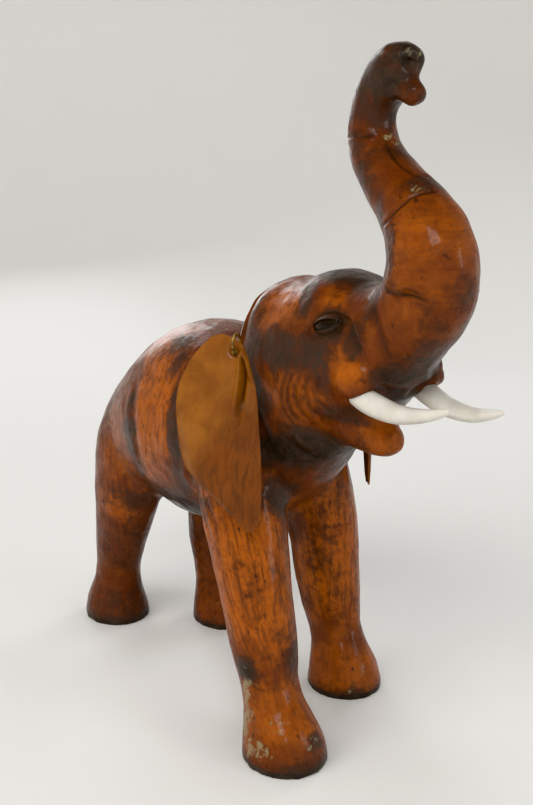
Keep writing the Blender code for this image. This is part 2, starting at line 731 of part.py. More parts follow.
def main():
    finishes = {
        "wood": material("wood", (0.42, 0.26, 0.13), 0.65),
        "leather": material("leather", (0.42, 0.15, 0.035), 0.32),
        "dark_leather": material("dark_leather", (0.15, 0.07, 0.04), 0.35),
        "ear_leather": material("ear_leather", (0.50, 0.24, 0.07), 0.50),
        "sole": material("sole", (0.06, 0.04, 0.03), 0.60),
        "thong": material("thong", (0.45, 0.30, 0.10), 0.60),
        "glass": material("glass", (0.02, 0.015, 0.01), 0.05),
        "ivory": material("ivory", (0.86, 0.82, 0.72), 0.28),
        "brass": material("brass", (0.70, 0.52, 0.22), 0.35, metallic=1.0),
    }
    form = evaluated_mesh(sculpted_form(), "form")
    outer = skin("outer", form, 0.0, OUTER_FACES)
    skins = {
        "outside": outer,
        "leather": hollow(outer, skin("inner", form, LEATHER, INNER_FACES)),
        "wood": skin("wood_skin", form, LEATHER + GLUE, WOOD_FACES),
    }
    cutters = make_cutters()
    made = {}
    make_trunk_and_head(made, skins, cutters, finishes)
    make_torso(made, skins, cutters, finishes)
    for leg in LEGS:
        make_leg(made, leg, skins, cutters, finishes)
    make_pegs(made, finishes["wood"])
    for side_name, side in (("left", 1.0), ("right", -1.0)):
        make_eye(made, side_name, side, finishes["glass"])
        make_tusk(made, side_name, finishes["ivory"])
        make_ear(made, side_name, side, finishes["ear_leather"], finishes["thong"])
    make_tail(made, finishes)


clear_scene()
figure_frame = bpy.data.objects.new("figure_frame", None)
figure_frame.location = FIGURE_FRAME
bpy.context.scene.collection.objects.link(figure_frame)
main()
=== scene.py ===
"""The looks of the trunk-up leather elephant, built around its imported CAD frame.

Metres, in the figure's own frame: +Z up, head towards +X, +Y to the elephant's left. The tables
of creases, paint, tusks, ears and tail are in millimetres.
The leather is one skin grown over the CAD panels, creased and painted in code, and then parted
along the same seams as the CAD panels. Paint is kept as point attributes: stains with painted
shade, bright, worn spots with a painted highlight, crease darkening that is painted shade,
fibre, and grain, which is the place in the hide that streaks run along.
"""

import math
from contextlib import contextmanager

import bmesh
import bpy
import numpy as np
from mathutils import Matrix, Vector


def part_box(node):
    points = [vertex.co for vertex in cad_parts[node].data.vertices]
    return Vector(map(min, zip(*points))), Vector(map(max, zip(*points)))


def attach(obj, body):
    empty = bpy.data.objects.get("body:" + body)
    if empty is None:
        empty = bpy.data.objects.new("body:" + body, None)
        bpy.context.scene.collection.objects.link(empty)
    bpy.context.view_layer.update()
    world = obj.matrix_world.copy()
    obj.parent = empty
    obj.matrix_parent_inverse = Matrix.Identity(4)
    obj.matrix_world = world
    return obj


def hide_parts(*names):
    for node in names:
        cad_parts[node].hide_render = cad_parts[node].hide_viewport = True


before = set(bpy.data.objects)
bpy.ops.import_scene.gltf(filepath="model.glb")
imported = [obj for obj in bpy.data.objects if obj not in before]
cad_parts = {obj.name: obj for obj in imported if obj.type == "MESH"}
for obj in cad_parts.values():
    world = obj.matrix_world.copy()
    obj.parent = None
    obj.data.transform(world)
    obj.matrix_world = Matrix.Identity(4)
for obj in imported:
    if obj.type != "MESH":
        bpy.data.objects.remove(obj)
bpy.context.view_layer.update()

# ---- driving dimensions ----
BLEND_VOXEL = 0.0023  # fineness of the first skin
BLEND_PASSES = 8  # smoothing that takes the CAD's facets away
LEATHER = 0.0015  # thickness of a panel
DEEPEST, HIGHEST = 0.0030, 0.0062  # how far sculpting may go in, so as to clear the core, and out
CORE_TOP = 0.515  # above this the trunk is stuffed, so sculpting may go deeper
EYE_CENTRE = np.array((0.147, 0.0375, 0.366))  # left eye; the right one mirrors it
EYE_ALONG = np.array((0.93, -0.17, 0.30))
EYE_RADII = np.array((0.0140, 0.0110, 0.0088))
GLASS_ALONG, GLASS_UP, GLASS_OUT = EYE_RADII[0] * 1.05, EYE_RADII[2], EYE_RADII[1] * 0.86
EYE_HALF, UPPER_LID, LOWER_LID = 0.0138, 0.0039, 0.0032  # half the opening's length, and its heights
LID_CREASE = 0.0048  # from the opening's edge
LEGS = ("front_right", "front_left", "hind_right", "hind_left")
SIDES = (("left", 1.0), ("right", -1.0))

# ---- the CAD's seams: a point on each and the way it faces ----
NECK = ((0.044, 0.0, 0.310), (0.9507, 0.0, 0.3102))
THROAT = ((0.0, 0.0, 0.222), (0.0, 0.0, 1.0))
TRUNK_ROOT = ((0.214, 0.0, 0.396), (0.20, 0.0, 0.98))
TRUNK_BAND = ((0.188, 0.0, 0.459), (-0.722, 0.0, 0.692))
TRUNK_NECK = ((0.144, 0.0, 0.508), (0.05, 0.0, 0.9987))
MIDDLE = ((0.0, 0.0, 0.0), (0.0, 1.0, 0.0))
ANKLE = ((0.0, 0.0, 0.052), (0.0, 0.0, 1.0))
SOLE = ((0.0, 0.0, 0.006), (0.0, 0.0, 1.0))
LEG_BOXES = {  # x range and the height of the seam on the flank and between the legs
    "front_right": (-0.026, 0.252, 0.232, 0.176),
    "front_left": (-0.038, 0.252, 0.232, 0.176),
    "hind_right": (-0.368, -0.124, 0.222, 0.170),
    "hind_left": (-0.368, -0.104, 0.222, 0.170),
}
BOX_INNER, FLANK = 0.006, 0.085


# ---- noise ----
def lattice(cell, seed):
    """A fixed pseudo-random value from -1 to 1 for each whole-number place."""
    mixed = cell[:, 0] * 374761393 + cell[:, 1] * 668265263 + cell[:, 2] * 2246822519 + seed * 974711
    mixed = ((mixed ^ (mixed >> 13)) * 1274126177) & 0x7FFFFFFF
    mixed = mixed ^ (mixed >> 15)
    return (mixed & 0xFFFF) / 32767.5 - 1.0


def noise(points, size, seed=0):
    """Smooth noise from -1 to 1 with features of about the given size."""
    scaled = points / size
    cell = np.floor(scaled).astype(np.int64)
    part = scaled - cell
    part = part * part * (3.0 - 2.0 * part)
    total = np.zeros(len(points))
    for corner in range(8):
        step = np.array((corner & 1, corner >> 1 & 1, corner >> 2))
        weight = np.prod(np.where(step, part, 1.0 - part), axis=1)
        total += weight * lattice(cell + step, seed)
    return total


def fractal(points, size, seed=0, octaves=3):
    total = np.zeros(len(points))
    for octave in range(octaves):
        total += noise(points, size / 2**octave, seed + octave * 31) / 2**octave
    return total / 1.6


# ---- shape helpers on point arrays ----
def soft_step(low, high, value):
    part = np.clip((value - low) / (high - low), 0.0, 1.0)
    return part * part * (3.0 - 2.0 * part)


def unit(vector):
    vector = np.asarray(vector, float)
    return vector / np.linalg.norm(vector)


def lengths(rows):
    return np.linalg.norm(rows, axis=1)


def bell(gap, width):
    """1 where the gap is nothing, falling smoothly away past the width."""
    return np.exp(-((gap / width) ** 2))


def line_distance(points, path):
    """Each point's distance to a path and how far along it lies, from 0 to 1."""
    path = np.asarray(path, float)
    nearest = np.full(len(points), 1e9)
    along = np.zeros(len(points))
    spans = lengths(np.diff(path, axis=0))
    reached = np.concatenate(([0.0], np.cumsum(spans)))
    for number, (start, end) in enumerate(zip(path, path[1:])):
        run = end - start
        part = np.clip(((points - start) @ run) / (run @ run), 0.0, 1.0)
        gap = lengths(points - start - part[:, None] * run)
        closer = gap < nearest
        nearest[closer] = gap[closer]
        along[closer] = (reached[number] + part[closer] * spans[number]) / reached[-1]
    return nearest, along


def curve(points, steps=6):
    """A smooth path through the points."""
    points = np.asarray(points, float)
    ends = np.vstack((2 * points[0] - points[1], points, 2 * points[-1] - points[-2]))
    path = []
    for a, b, c, d in zip(ends, ends[1:], ends[2:], ends[3:]):
        for step in range(steps):
            t = step / steps
            path.append(
                0.5 * ((2 * b) + (c - a) * t + (2 * a - 5 * b + 4 * c - d) * t**2
                       + (3 * b - a - 3 * c + d) * t**3)
            )
    path.append(points[-1])
    return np.array(path)


def near_path(points, path, reach):
    """Which points lie in the path's box, grown by the reach."""
    low, high = np.min(path, axis=0) - reach, np.max(path, axis=0) + reach
    return np.flatnonzero(np.all((points > low) & (points < high), axis=1))


def mirrored(path):
    return [(x, -y, z) for x, y, z in path]


# ---- objects ----
def add_object(name, mesh, finish=None):
    made = bpy.data.objects.new(name, mesh)
    bpy.context.scene.collection.objects.link(made)
    if finish:
        made.data.materials.clear()
        made.data.materials.append(finish)
    return made


def mesh_of(name, verts, faces):
    mesh = bpy.data.meshes.new(name)
    mesh.from_pydata([tuple(v) for v in verts], [], faces)
    mesh.update()
    mesh.shade_smooth()
    return mesh


def apply_modifiers(item):
    graph = bpy.context.evaluated_depsgraph_get()
    made = bpy.data.meshes.new_from_object(item.evaluated_get(graph))
    item.modifiers.clear()
    old = item.data
    item.data = made
    bpy.data.meshes.remove(old)


def read(layer, key, width=1, kind=np.float32):
    """One value of every item in a mesh layer, as rows of the given width."""
    flat = np.empty(len(layer) * width, kind)
    layer.foreach_get(key, flat)
    return flat.reshape(-1, width) if width > 1 else flat


def positions(mesh):
    return read(mesh.vertices, "co", 3).astype(float)


def normals(mesh):
    return read(mesh.vertex_normals, "vector", 3).astype(float)


def edge_ends(mesh):
    return read(mesh.edges, "vertices", 2, np.int32)


@contextmanager
def editing(mesh):
    """The mesh as a bmesh, which is written back at the end."""
    bm = bmesh.new()
    bm.from_mesh(mesh)
    yield bm
    bm.to_mesh(mesh)
    bm.free()


def smooth_shade(mesh, degrees):
    """Smooth shading, but for edges sharper than the angle."""
    mesh.shade_smooth()
    mesh.set_sharp_from_angle(angle=math.radians(degrees))


def move_points(mesh, points):
    mesh.vertices.foreach_set("co", points.astype(np.float32).ravel())
    mesh.update()


def smoothed(values, ends, passes):
    """Each value drawn half way to the mean of its neighbours, a number of times."""
    count = np.maximum(np.bincount(ends.ravel(), minlength=len(values)), 1)
    values = values.copy()
    flat = values.reshape(len(values), -1)
    for _ in range(passes):
        for column in range(flat.shape[1]):
            near = np.bincount(ends[:, 0], flat[ends[:, 1], column], len(values))
            near += np.bincount(ends[:, 1], flat[ends[:, 0], column], len(values))
            flat[:, column] += 0.5 * (near / count - flat[:, column])
    return flat.reshape(values.shape)


def set_attribute(mesh, name, values):
    kind = "FLOAT_VECTOR" if values.ndim == 2 else "FLOAT"
    layer = mesh.attributes.new(name, kind, "POINT")
    layer.data.foreach_set("vector" if values.ndim == 2 else "value", values.astype(np.float32).ravel())


# ---- the skin ----
def grow_skin():
    """One smooth closed skin over the leather panels and what they hold."""
    kept = ("leather", "foot", "sole", "core", "eye_left", "eye_right")
    union = bmesh.new()
    for name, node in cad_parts.items():
        if any(word in name for word in kept):
            union.from_mesh(node.data)
    mesh = bpy.data.meshes.new("skin")
    union.to_mesh(mesh)
    union.free()
    item = add_object("skin", mesh)
    remesh = item.modifiers.new("blend", "REMESH")
    remesh.mode = "VOXEL"
    remesh.voxel_size = BLEND_VOXEL
    apply_modifiers(item)
    keep_outer_body(item.data)
    ends = edge_ends(item.data)
    points = positions(item.data)
    soft = smoothed(points, ends, BLEND_PASSES)
    # the ground face and the small forms of the trunk's tip keep more of their shape
    firm = smoothed(points, ends, 3)
    share = soft_step(0.500, 0.530, points[:, 2])[:, None]
    points = soft + (firm - soft) * share
    points[:, 2] = np.where(points[:, 2] < 0.0015, 0.0, points[:, 2])
    move_points(item.data, points)
    finer = item.modifiers.new("finer", "SUBSURF")
    finer.levels = finer.render_levels = 1
    apply_modifiers(item)
    return item


def keep_outer_body(mesh):
    """Drops any skin that the remesh left inside the figure."""
    ends = edge_ends(mesh)
    label = np.arange(len(mesh.vertices))
    settled = False
    while not settled:
        fresh = label.copy()
        lowest = np.minimum(label[ends[:, 0]], label[ends[:, 1]])
        np.minimum.at(fresh, ends[:, 0], lowest)
        np.minimum.at(fresh, ends[:, 1], lowest)
        fresh = fresh[fresh]
        settled = np.array_equal(fresh, label)
        label = fresh
    largest = np.bincount(label).argmax()
    with editing(mesh) as bm:
        bm.verts.ensure_lookup_table()
        inner = [bm.verts[number] for number in np.flatnonzero(label != largest)]
        bmesh.ops.delete(bm, geom=inner, context="VERTS")


def refine_round_eyes(mesh):
    """Finer faces where the lids are."""
    for reach in (0.024, 0.019):
        ends = edge_ends(mesh)
        points = positions(mesh)
        middles = (points[ends[:, 0]] + points[ends[:, 1]]) / 2
        middles[:, 1] = np.abs(middles[:, 1])
        gap = lengths(middles - EYE_CENTRE * (1.0, 1.2, 1.0))
        with editing(mesh) as bm:
            bm.edges.ensure_lookup_table()
            chosen = [bm.edges[number] for number in np.flatnonzero(gap < reach)]
            bmesh.ops.subdivide_edges(bm, edges=chosen, cuts=1, use_grid_fill=True)
            bmesh.ops.triangulate(bm, faces=[face for face in bm.faces if len(face.verts) > 4])


# ---- creases, folds and paint, as paths on the right side of the figure, in millimetres ----
# path, width, depth, how much it darkens with painted shade
RIGHT_CREASES = (
    # cheek wrinkles that hang from the eye's corner
    (((117, -54, 330), (106, -53, 311), (101, -49, 292), (109, -41, 278)), 2.6, 1.1, 0.8),
    (((123, -53, 331), (113, -52, 313), (108, -48, 295), (114, -39, 281)), 2.4, 1.1, 0.8),
    (((131, -51, 330), (121, -50, 315), (117, -46, 298), (122, -36, 284)), 2.4, 1, 0.8),
    (((140, -49, 330), (131, -49, 317), (128, -44, 303), (133, -35, 290)), 2.4, 1, 0.7),
    (((149, -47, 329), (142, -47, 318), (140, -42, 306), (146, -35, 297)), 2.2, 0.8, 0.6),
    # from the brow down past the eye to the tusk
    (((166, -38, 376), (172, -40, 367), (180, -39, 357), (187, -37, 350)), 3.4, 1.3, 0.6),
    (((186, -31, 388), (194, -34, 378), (200, -34, 365), (203, -28, 351), (201, -22, 339)), 4.4, 1.6,
      0.6),
    # round the lip over the tusk
    (((159, -44, 317), (158, -46, 328), (161, -45, 338), (171, -42, 345), (182, -39, 346),
      (190, -34, 340), (193, -30, 330)), 3.4, 0.6, 0.3),
    (((183, -45, 327), (188, -41, 331), (191, -36, 328)), 1.4, 0.8, 0.8),
    # mouth line behind the tusk
    (((150, -42, 305), (163, -39, 300), (176, -32, 299), (188, -20, 300)), 3.6, 1.8, 0.9),
    (((193, -32, 326), (190, -19, 320), (192, -8, 320), (194, 0, 322)), 5, 2.4, 1),
    # throat and neck
    (((70, -52, 290), (80, -47, 262), (84, -36, 240)), 4, 1.4, 0.8),
    (((95, -46, 272), (103, -36, 258), (108, -18, 250)), 3.6, 1.2, 0.8),
    # creases across the trunk's root
    (((196, -25, 405), (203, -32, 398), (217, -33, 396.5), (229, -30, 396.5), (237, -25, 393.5),
      (241, -21, 394)), 1.6, 1.1, 1),
    (((219, -33, 401), (228, -30, 400.5), (236, -26, 397)), 1.3, 0.9, 0.9),
    (((199, -26, 411), (205, -31, 404), (214, -34, 402)), 1.3, 0.7, 0.7),
    # the shoulder's folds
    (((-10, -70, 224), (-6, -76, 205), (12, -80, 186), (34, -82, 163)), 3.4, 1.6, 0.7),
    (((8, -79, 226), (16, -82, 207), (32, -84, 190), (52, -86, 170)), 3, 1.2, 0.6),
    (((24, -81, 224), (36, -84, 206), (56, -84, 186)), 2.6, 1, 0.6),
    # down the flank
    (((-108, -70, 285), (-96, -81, 250), (-92, -80, 214), (-98, -70, 186)), 6, 1.4, 0.3),
    # hind leg, where the thigh meets the belly
    (((-130, -52, 166), (-112, -58, 176), (-96, -62, 190)), 4.6, 1.8, 0.8),
    # foot: wrinkles at the ankle and a crack in the leather
    (((98, -83, 70), (112, -78, 62), (124, -60, 64)), 1.8, 0.8, 0.7),
    (((99, -84, 54), (116, -78, 48), (130, -60, 50)), 1.8, 0.8, 0.6),
)
# path, width, height
RIGHT_FOLDS = (
    (((168, -37, 380), (176, -39, 370), (184, -38, 360), (192, -36, 350)), 3.2, 1.3),
    (((172, -46, 322), (170, -46, 331), (177, -43, 338), (186, -39, 338), (192, -35, 331)), 4.6, 1.2),
    (((112, -54, 328), (103, -53, 309), (99, -48, 288)), 2.8, 0.9),
    (((120, -53, 330), (110, -52, 312), (105, -48, 294)), 2.6, 0.9),
    (((127, -52, 330), (117, -51, 314), (113, -47, 296)), 2.6, 0.9),
    (((136, -50, 330), (126, -50, 316), (123, -45, 300)), 2.6, 0.8),
    (((112, -40, 371), (121, -39, 379), (137, -36, 383), (153, -35, 381)), 5, 1.4),
    (((218, -33, 399), (229, -30, 398.5), (238, -25, 395.5)), 1.1, 1),
    (((-18, -72, 222), (-14, -72, 200), (2, -76, 180)), 4, 1.8),
    (((0, -79, 226), (8, -82, 205), (24, -84, 184), (44, -86, 163)), 3.4, 1.4),
)
# path, width, depth, how much it darkens with painted shade: these are not mirrored
MIDDLE_CREASES = (
    # where the light base panel of the trunk laps over the darker middle one
    (((186, -24, 440), (197, -28, 446), (206, -25, 455), (212, -18, 463), (217, -8, 466),
      (218, 4, 466)), 1.4, 1.1, 1),
    # the seam down the inside of the trunk's curve
    (((166, -4, 508), (170, -6, 498), (181, -8, 488), (196, -7, 479), (210, -3, 471)), 1.4, 0.9, 1),
    (((128, -12, 500), (140, -18, 503), (153, -18, 503), (164, -10, 505)), 1.2, 0.9, 0.9),
    # rings on the light panel
    (((214, -32, 437), (229, -25, 444), (240, -10, 446), (243, 10, 444)), 0.9, 0.3, 0.5),
    (((211, -33, 424), (228, -29, 430), (243, -14, 433), (247, 8, 431)), 0.9, 0.3, 0.4),
    (((214, -33, 410), (232, -28, 414), (246, -13, 415), (250, 8, 412)), 0.9, 0.3, 0.4),
    # a crack in the left front foot
    (((64, 46, 38), (70, 51, 36), (73, 56, 34.5), (77, 64, 31), (76, 76, 25)), 1, 1.2, 1),
    (((66, 38, 44), (72, 45, 41), (77, 53, 41)), 1, 0.6, 0.7),
    (((52, 37, 32), (61, 38, 29), (66, 41, 22)), 1, 0.5, 0.6),
)


# folds of the trunk's tip: path, width, height
TIP_FOLDS = (
    (((176, -17, 559.5), (186, -12.5, 563), (196, -4, 565.5)), 2.2, 1.6),
    (((188, -12, 560), (186, -12.5, 552), (188, -10, 544)), 2.8, 1.4),
    (((182, -13, 540), (192, -9, 541), (199, -1, 542.5)), 2.2, -1.8),
)


# ---- sculpting ----
def in_metres(rows):
    """Table rows with the path, the width and the height turned from millimetres into metres."""
    return [(np.array(path) / 1000, width / 1000, rise / 1000, *rest) for path, width, rise, *rest in rows]


def fade(along, share):
    """0 at both ends of a path, 1 from that share of its length inwards."""
    return soft_step(0.0, share, along) * soft_step(0.0, share, 1.0 - along)


def carve(points):
    """How far each point moves along its normal, and how dark its crease is painted as shade."""
    shift = np.zeros(len(points))
    dark = np.zeros(len(points))
    rows = in_metres(MIDDLE_CREASES)
    for path, width, depth, tone in in_metres(RIGHT_CREASES):
        rows.append((path, width, depth, tone))
        rows.append((mirrored(path), width, depth * 0.9, tone))
    for path, width, depth, tone in rows:
        path = curve(path)
        spot = near_path(points, path, 5.0 * width)
        gap, along = line_distance(points[spot], path)
        waver = noise(points[spot], 0.006, 5) * 0.35 + 1.0
        ends = fade(along, 0.18)
        shift[spot] -= depth * bell(gap, width * waver) * ends
        shift[spot] += 0.35 * depth * bell(gap - 2.0 * width, 0.9 * width) * ends
        dark[spot] = np.maximum(dark[spot], tone * bell(gap, 0.75 * width) * ends)
    for path, width, height in in_metres(RIGHT_FOLDS):
        for placed in (path, mirrored(path)):
            placed = curve(placed)
            spot = near_path(points, placed, 3.0 * width)
            gap, along = line_distance(points[spot], placed)
            ends = fade(along, 0.2)
            shift[spot] += height * bell(gap, width) * ends
    return shift, dark


def dent(points, centre, radii, depth, sharp):
    """A smooth round hollow, deepest at its centre."""
    gap = lengths((points - np.array(centre)) / np.array(radii))
    return -depth * np.exp(-(gap ** (2.0 * sharp)))


def shape_trunk_tip(points):
    """Two nostrils under the hood, the rim round them, and the crease above the finger."""
    shift = dent(points, (0.196, -0.004, 0.5535), (0.0075, 0.0105, 0.0085), 0.0075, 1.4)
    shift += dent(points, (0.178, -0.0165, 0.5550), (0.0060, 0.0060, 0.0026), 0.0026, 1.2)
    for path, width, height in in_metres(TIP_FOLDS):
        gap, _ = line_distance(points, curve(path))
        shift += height * bell(gap, width)
    return shift


def eye_frame(side):
    """Along the eye, up it and out of the head."""
    along = unit(EYE_ALONG * (1.0, side, 1.0))
    out = unit(np.array((0.20, side, 0.10)) - along * (np.array((0.20, side, 0.10)) @ along))
    up = np.cross(along, out) * side
    return along, unit(up), out


def eyeball_height(u, v):
    inside = 1.0 - (u / GLASS_ALONG) ** 2 - (v / GLASS_UP) ** 2
    return GLASS_OUT * np.sqrt(np.clip(inside, 0.0, 1.0))


def shape_eye(points, side):
    """Lids round an almond opening; inside it the skin drops behind the glass."""
    along, up, out = eye_frame(side)
    centre = EYE_CENTRE * (1.0, side, 1.0)
    local = points - centre
    u, v, w = local @ along, local @ up, local @ out
    near = (np.abs(u) < 0.026) & (np.abs(v) < 0.022) & (w > -0.004)
    u, v, w = u[near], v[near], w[near]
    shape = np.clip(1.0 - (u / EYE_HALF) ** 2, 0.0, 1.0) ** 0.72
    lid = np.where(v > 0.0, UPPER_LID, LOWER_LID) * shape
    past = np.abs(v) - lid + np.clip(np.abs(u) - EYE_HALF, 0.0, None) * 0.8
    level = eyeball_height(u, v)
    rim = 0.0007 * bell(past - 0.0012, 0.0016)
    crease = 0.0006 * bell(past - LID_CREASE, 0.0012) * np.where(v > 0, 1.0, 0.3)
    lids = level + 0.0009 + rim
    shared = soft_step(0.0105, 0.0030, past)
    lifted = w + (np.maximum(lids, w - 0.002) - w) * shared - crease
    opened = np.where(past < 0.0, level - 0.0022, lifted)
    blend = soft_step(-0.0005, 0.0005, past)
    height = opened * (1.0 - blend) + lifted * blend
    moved = points.copy()
    moved[near] += (height - w)[:, None] * out
    # painted shade along the edge of the opening and in the lid crease
    dark = np.zeros(len(points))
    dark[near] = np.maximum(
        soft_step(0.0012, 0.0, past), bell(past - LID_CREASE, 0.0012) * np.where(v > 0, 0.6, 0.2)
    )
    return moved, dark


def shape_tusk_lip(points, side):
    """A lip of leather that stands up round the top of each tusk."""
    root = np.array((0.174, side * 0.0305, 0.3165))
    way = unit((0.92, side * 0.08, -0.20))
    local = points - root
    along = local @ way
    radial = local - along[:, None] * way
    gap = lengths(radial)
    over = soft_step(-0.3, 0.6, radial[:, 2] / np.maximum(gap, 1e-6))
    zone = bell(along - 0.006, 0.010)
    return 0.0020 * bell(gap - 0.0120, 0.0034) * over * zone


# ---- paint ----
# centre x, y, z, radii x, y, z and strength: dark stains and painted shade on the right side, mirrored to
# the left
STAINS_AND_SHADE = (
    # temple, from the ear to the eye
    (100, -53, 342, 56, 24, 17, 1), (132, -50, 350, 20, 20, 14, 0.9), (60, -48, 362, 12, 20, 20, 0.7),
    # the valley between the skull's lobes
    (117, -37, 380, 13, 22, 26, 0.9),
    # brow
    (135, -10, 400, 36, 26, 12, 1), (160, -12, 392, 22, 20, 8, 0.5),
    # in front of the eye
    (178, -40, 358, 10, 16, 16, 0.8), (186, -29, 386, 9, 14, 20, 0.8),
    # under the trunk, over the mouth
    (203, -20, 333, 16, 26, 12, 1.1), (214, -4, 343, 14, 20, 10, 0.9), (228, 4, 357, 10, 24, 12, 0.7),
    # throat: painted shade under the head and jaw
    (105, -28, 255, 60, 50, 24, 1.3), (150, -30, 297, 30, 22, 9, 0.9), (68, -50, 298, 20, 30, 34, 0.8),
    (149, -46, 330, 8, 16, 20, 0.8),
    # trunk's tip
    (162, 0, 545, 44, 30, 34, 1.1), (158, -18, 478, 12, 16, 12, 0.7), (184, -24, 448, 9, 14, 16, 0.9),
    (206, -10, 471, 14, 18, 8, 0.8), (150, -12, 503, 16, 16, 6, 0.8), (194, -28, 418, 6, 12, 20, 0.6),
    (250, 4, 392, 6, 24, 22, 0.5), (216, -31, 398, 22, 12, 4, 0.4),
    # the dark band behind the ear: painted shadow of the ear
    (-63, -43, 319, 16, 22, 12, 0.8), (-47, -58, 304, 10, 18, 16, 0.9), (-32, -68, 278, 9, 18, 24, 1),
    (-24, -76, 244, 9, 18, 28, 1), (-27, -72, 208, 12, 18, 20, 0.9),
    # down the flank
    (-106, -78, 262, 8, 24, 14, 0.9), (-105, -80, 232, 11, 20, 26, 1), (-102, -72, 196, 13, 20, 16, 0.7),
    # belly: painted shade under the body
    (-60, -50, 168, 60, 50, 24, 1.2), (-176, -55, 235, 14, 40, 30, 0.5),
    (-150, -60, 150, 30, 40, 14, 0.6), (-195, -45, 20, 45, 45, 26, 0.6),
    # front right ankle
    (98, -84, 76, 12, 14, 10, 1.2), (114, -45, 84, 12, 14, 18, 0.9), (126, -34, 66, 10, 14, 14, 0.6),
    (32, -82, 196, 26, 14, 12, 0.5),
    # chest and between the legs: painted shade
    (72, -34, 215, 18, 18, 24, 1.1), (52, 30, 150, 20, 12, 80, 0.5), (-235, 0, 200, 30, 30, 40, 0.6),
    # round the eye
    (148, -42, 366, 22, 16, 13, 1),
    # the trunk's finger
    (190, 0, 534, 16, 20, 16, 0.9), (190, 0, 560, 30, 30, 16, 1.2),
    # the hind legs are darker: painted shade
    (-175, -45, 85, 60, 50, 50, 0.38), (-195, -45, 30, 60, 50, 30, 0.5), (130, -40, 8, 50, 50, 10, 0.5),
    (180, -6, 495, 16, 16, 10, 0.6),
    # inside the mouth: painted shade
    (190, 0, 308, 24, 22, 14, 1.4),
    # the trunk's middle
    (164, -16, 478, 26, 30, 32, 0.5), (150, -20, 496, 14, 20, 10, 0.8), (238, -20, 378, 10, 16, 18, 0.5),
    (196, -34, 425, 10, 16, 30, 0.7), (152, -44, 24, 10, 12, 8, 0.9), (126, -50, 78, 8, 12, 18, 0.9),
)
# the same for where the hide is brightest orange
BRIGHTS = (
    (222, -4, 430, 34, 50, 40, 0.42), (222, -14, 375, 34, 40, 26, 0.2), (88, -38, 375, 28, 26, 18, 0.7),
    (142, -34, 386, 14, 16, 10, 0.6), (118, -51, 305, 26, 20, 22, 0.5), (172, -43, 340, 18, 16, 14, 0.9),
    (176, -10, 283, 22, 28, 16, 0.45), (178, -18, 482, 22, 20, 14, 0.1), (-66, -70, 262, 32, 40, 62, 1),
    (-100, -40, 318, 40, 40, 22, 0.8), (-150, -70, 215, 26, 30, 40, 0.6),
    (-166, -68, 142, 20, 20, 18, 0.8), (75, -70, 160, 60, 40, 70, 1), (125, -62, 40, 40, 40, 30, 0.6),
    (52, -45, 140, 30, 40, 80, 1), (66, -55, 25, 40, 40, 30, 0.5),
)
# and for worn spots where a pale ground shows; on the front right foot the pale patches are also a painted
# highlight
WORN_AND_HIGHLIGHT = (
    (99, -83, 60, 6, 8, 15, 1.1), (103, -86, 30, 10, 12, 20, 1), (128, -76, 36, 18, 14, 12, 0.55),
    (122, -86, 18, 20, 12, 10, 0.8), (114, -88, 14, 16, 12, 8, 0.7), (150, -50, 24, 8, 10, 8, 0.6),
    (192, -4, 561, 6, 6, 5, 0.7), (168, -2, 502, 5, 5, 7, 0.8), (211, 12, 469, 6, 6, 4, 0.7),
    (72, 46, 12, 12, 12, 6, 0.5), (-195, -55, 14, 12, 14, 8, 0.4),
)


def blobs(points, rows, size, seed):
    """Soft-edged patches with torn outlines."""
    ragged = fractal(points, size, seed, 4) * 0.55
    total = np.zeros(len(points))
    for row in rows:
        centre, radii, strength = np.array(row[:3]) / 1000, np.array(row[3:6]) / 1000, row[6]
        for side in (1.0, -1.0):
            place = centre * (1.0, side, 1.0)
            spot = near_path(points, place[None], 2.2 * max(radii))
            gap = lengths((points[spot] - place) / radii)
            total[spot] = np.maximum(total[spot], strength * soft_step(1.6, 0.35, gap + ragged[spot]))
    return total


def turned(points, axis, degrees):
    return points @ np.array(Matrix.Rotation(math.radians(degrees), 3, axis)).T


def grain_of(points, name):
    """Places in the hide, laid so that the streaks run down their third axis."""
    if name.startswith("trunk_leather_base"):
        centre = np.array((0.207, 0.0, 0.0))
        around = np.arctan2(points[:, 1], points[:, 0] - centre[0])
        reach = lengths(points[:, :2] - centre[:2])
        return np.column_stack((reach, points[:, 2], 0.034 * around)) + 2.1
    if name.startswith(("leg_leather_front", "foot_front")):
        lean = 27.0 if name.endswith("right") else 9.0
        return turned(points, "Y", lean) + 0.7
    if "hind" in name:
        return turned(points, "Y", -6.0) + 1.3
    if name.startswith("trunk"):
        return turned(points, "Y", -34.0) + 2.1
    if name == "head_leather":
        return turned(points, "Y", 10.0) + 2.9
    return turned(points, "Y", -6.0) + 3.7


def fibre_of(points, name):
    """How much the long fibres of the hide show: most on the legs, flank and cheek."""
    if name.startswith(("trunk", "foot", "sole")):
        return np.full(len(points), 0.30)
    if name == "head_leather":
        cheek = soft_step(0.352, 0.330, points[:, 2]) * soft_step(0.160, 0.140, points[:, 0])
        return 0.30 + 0.60 * cheek
    if name.startswith("leg"):
        return 0.35 + 0.65 * soft_step(0.052, 0.085, points[:, 2])
    return np.full(len(points), 0.85)


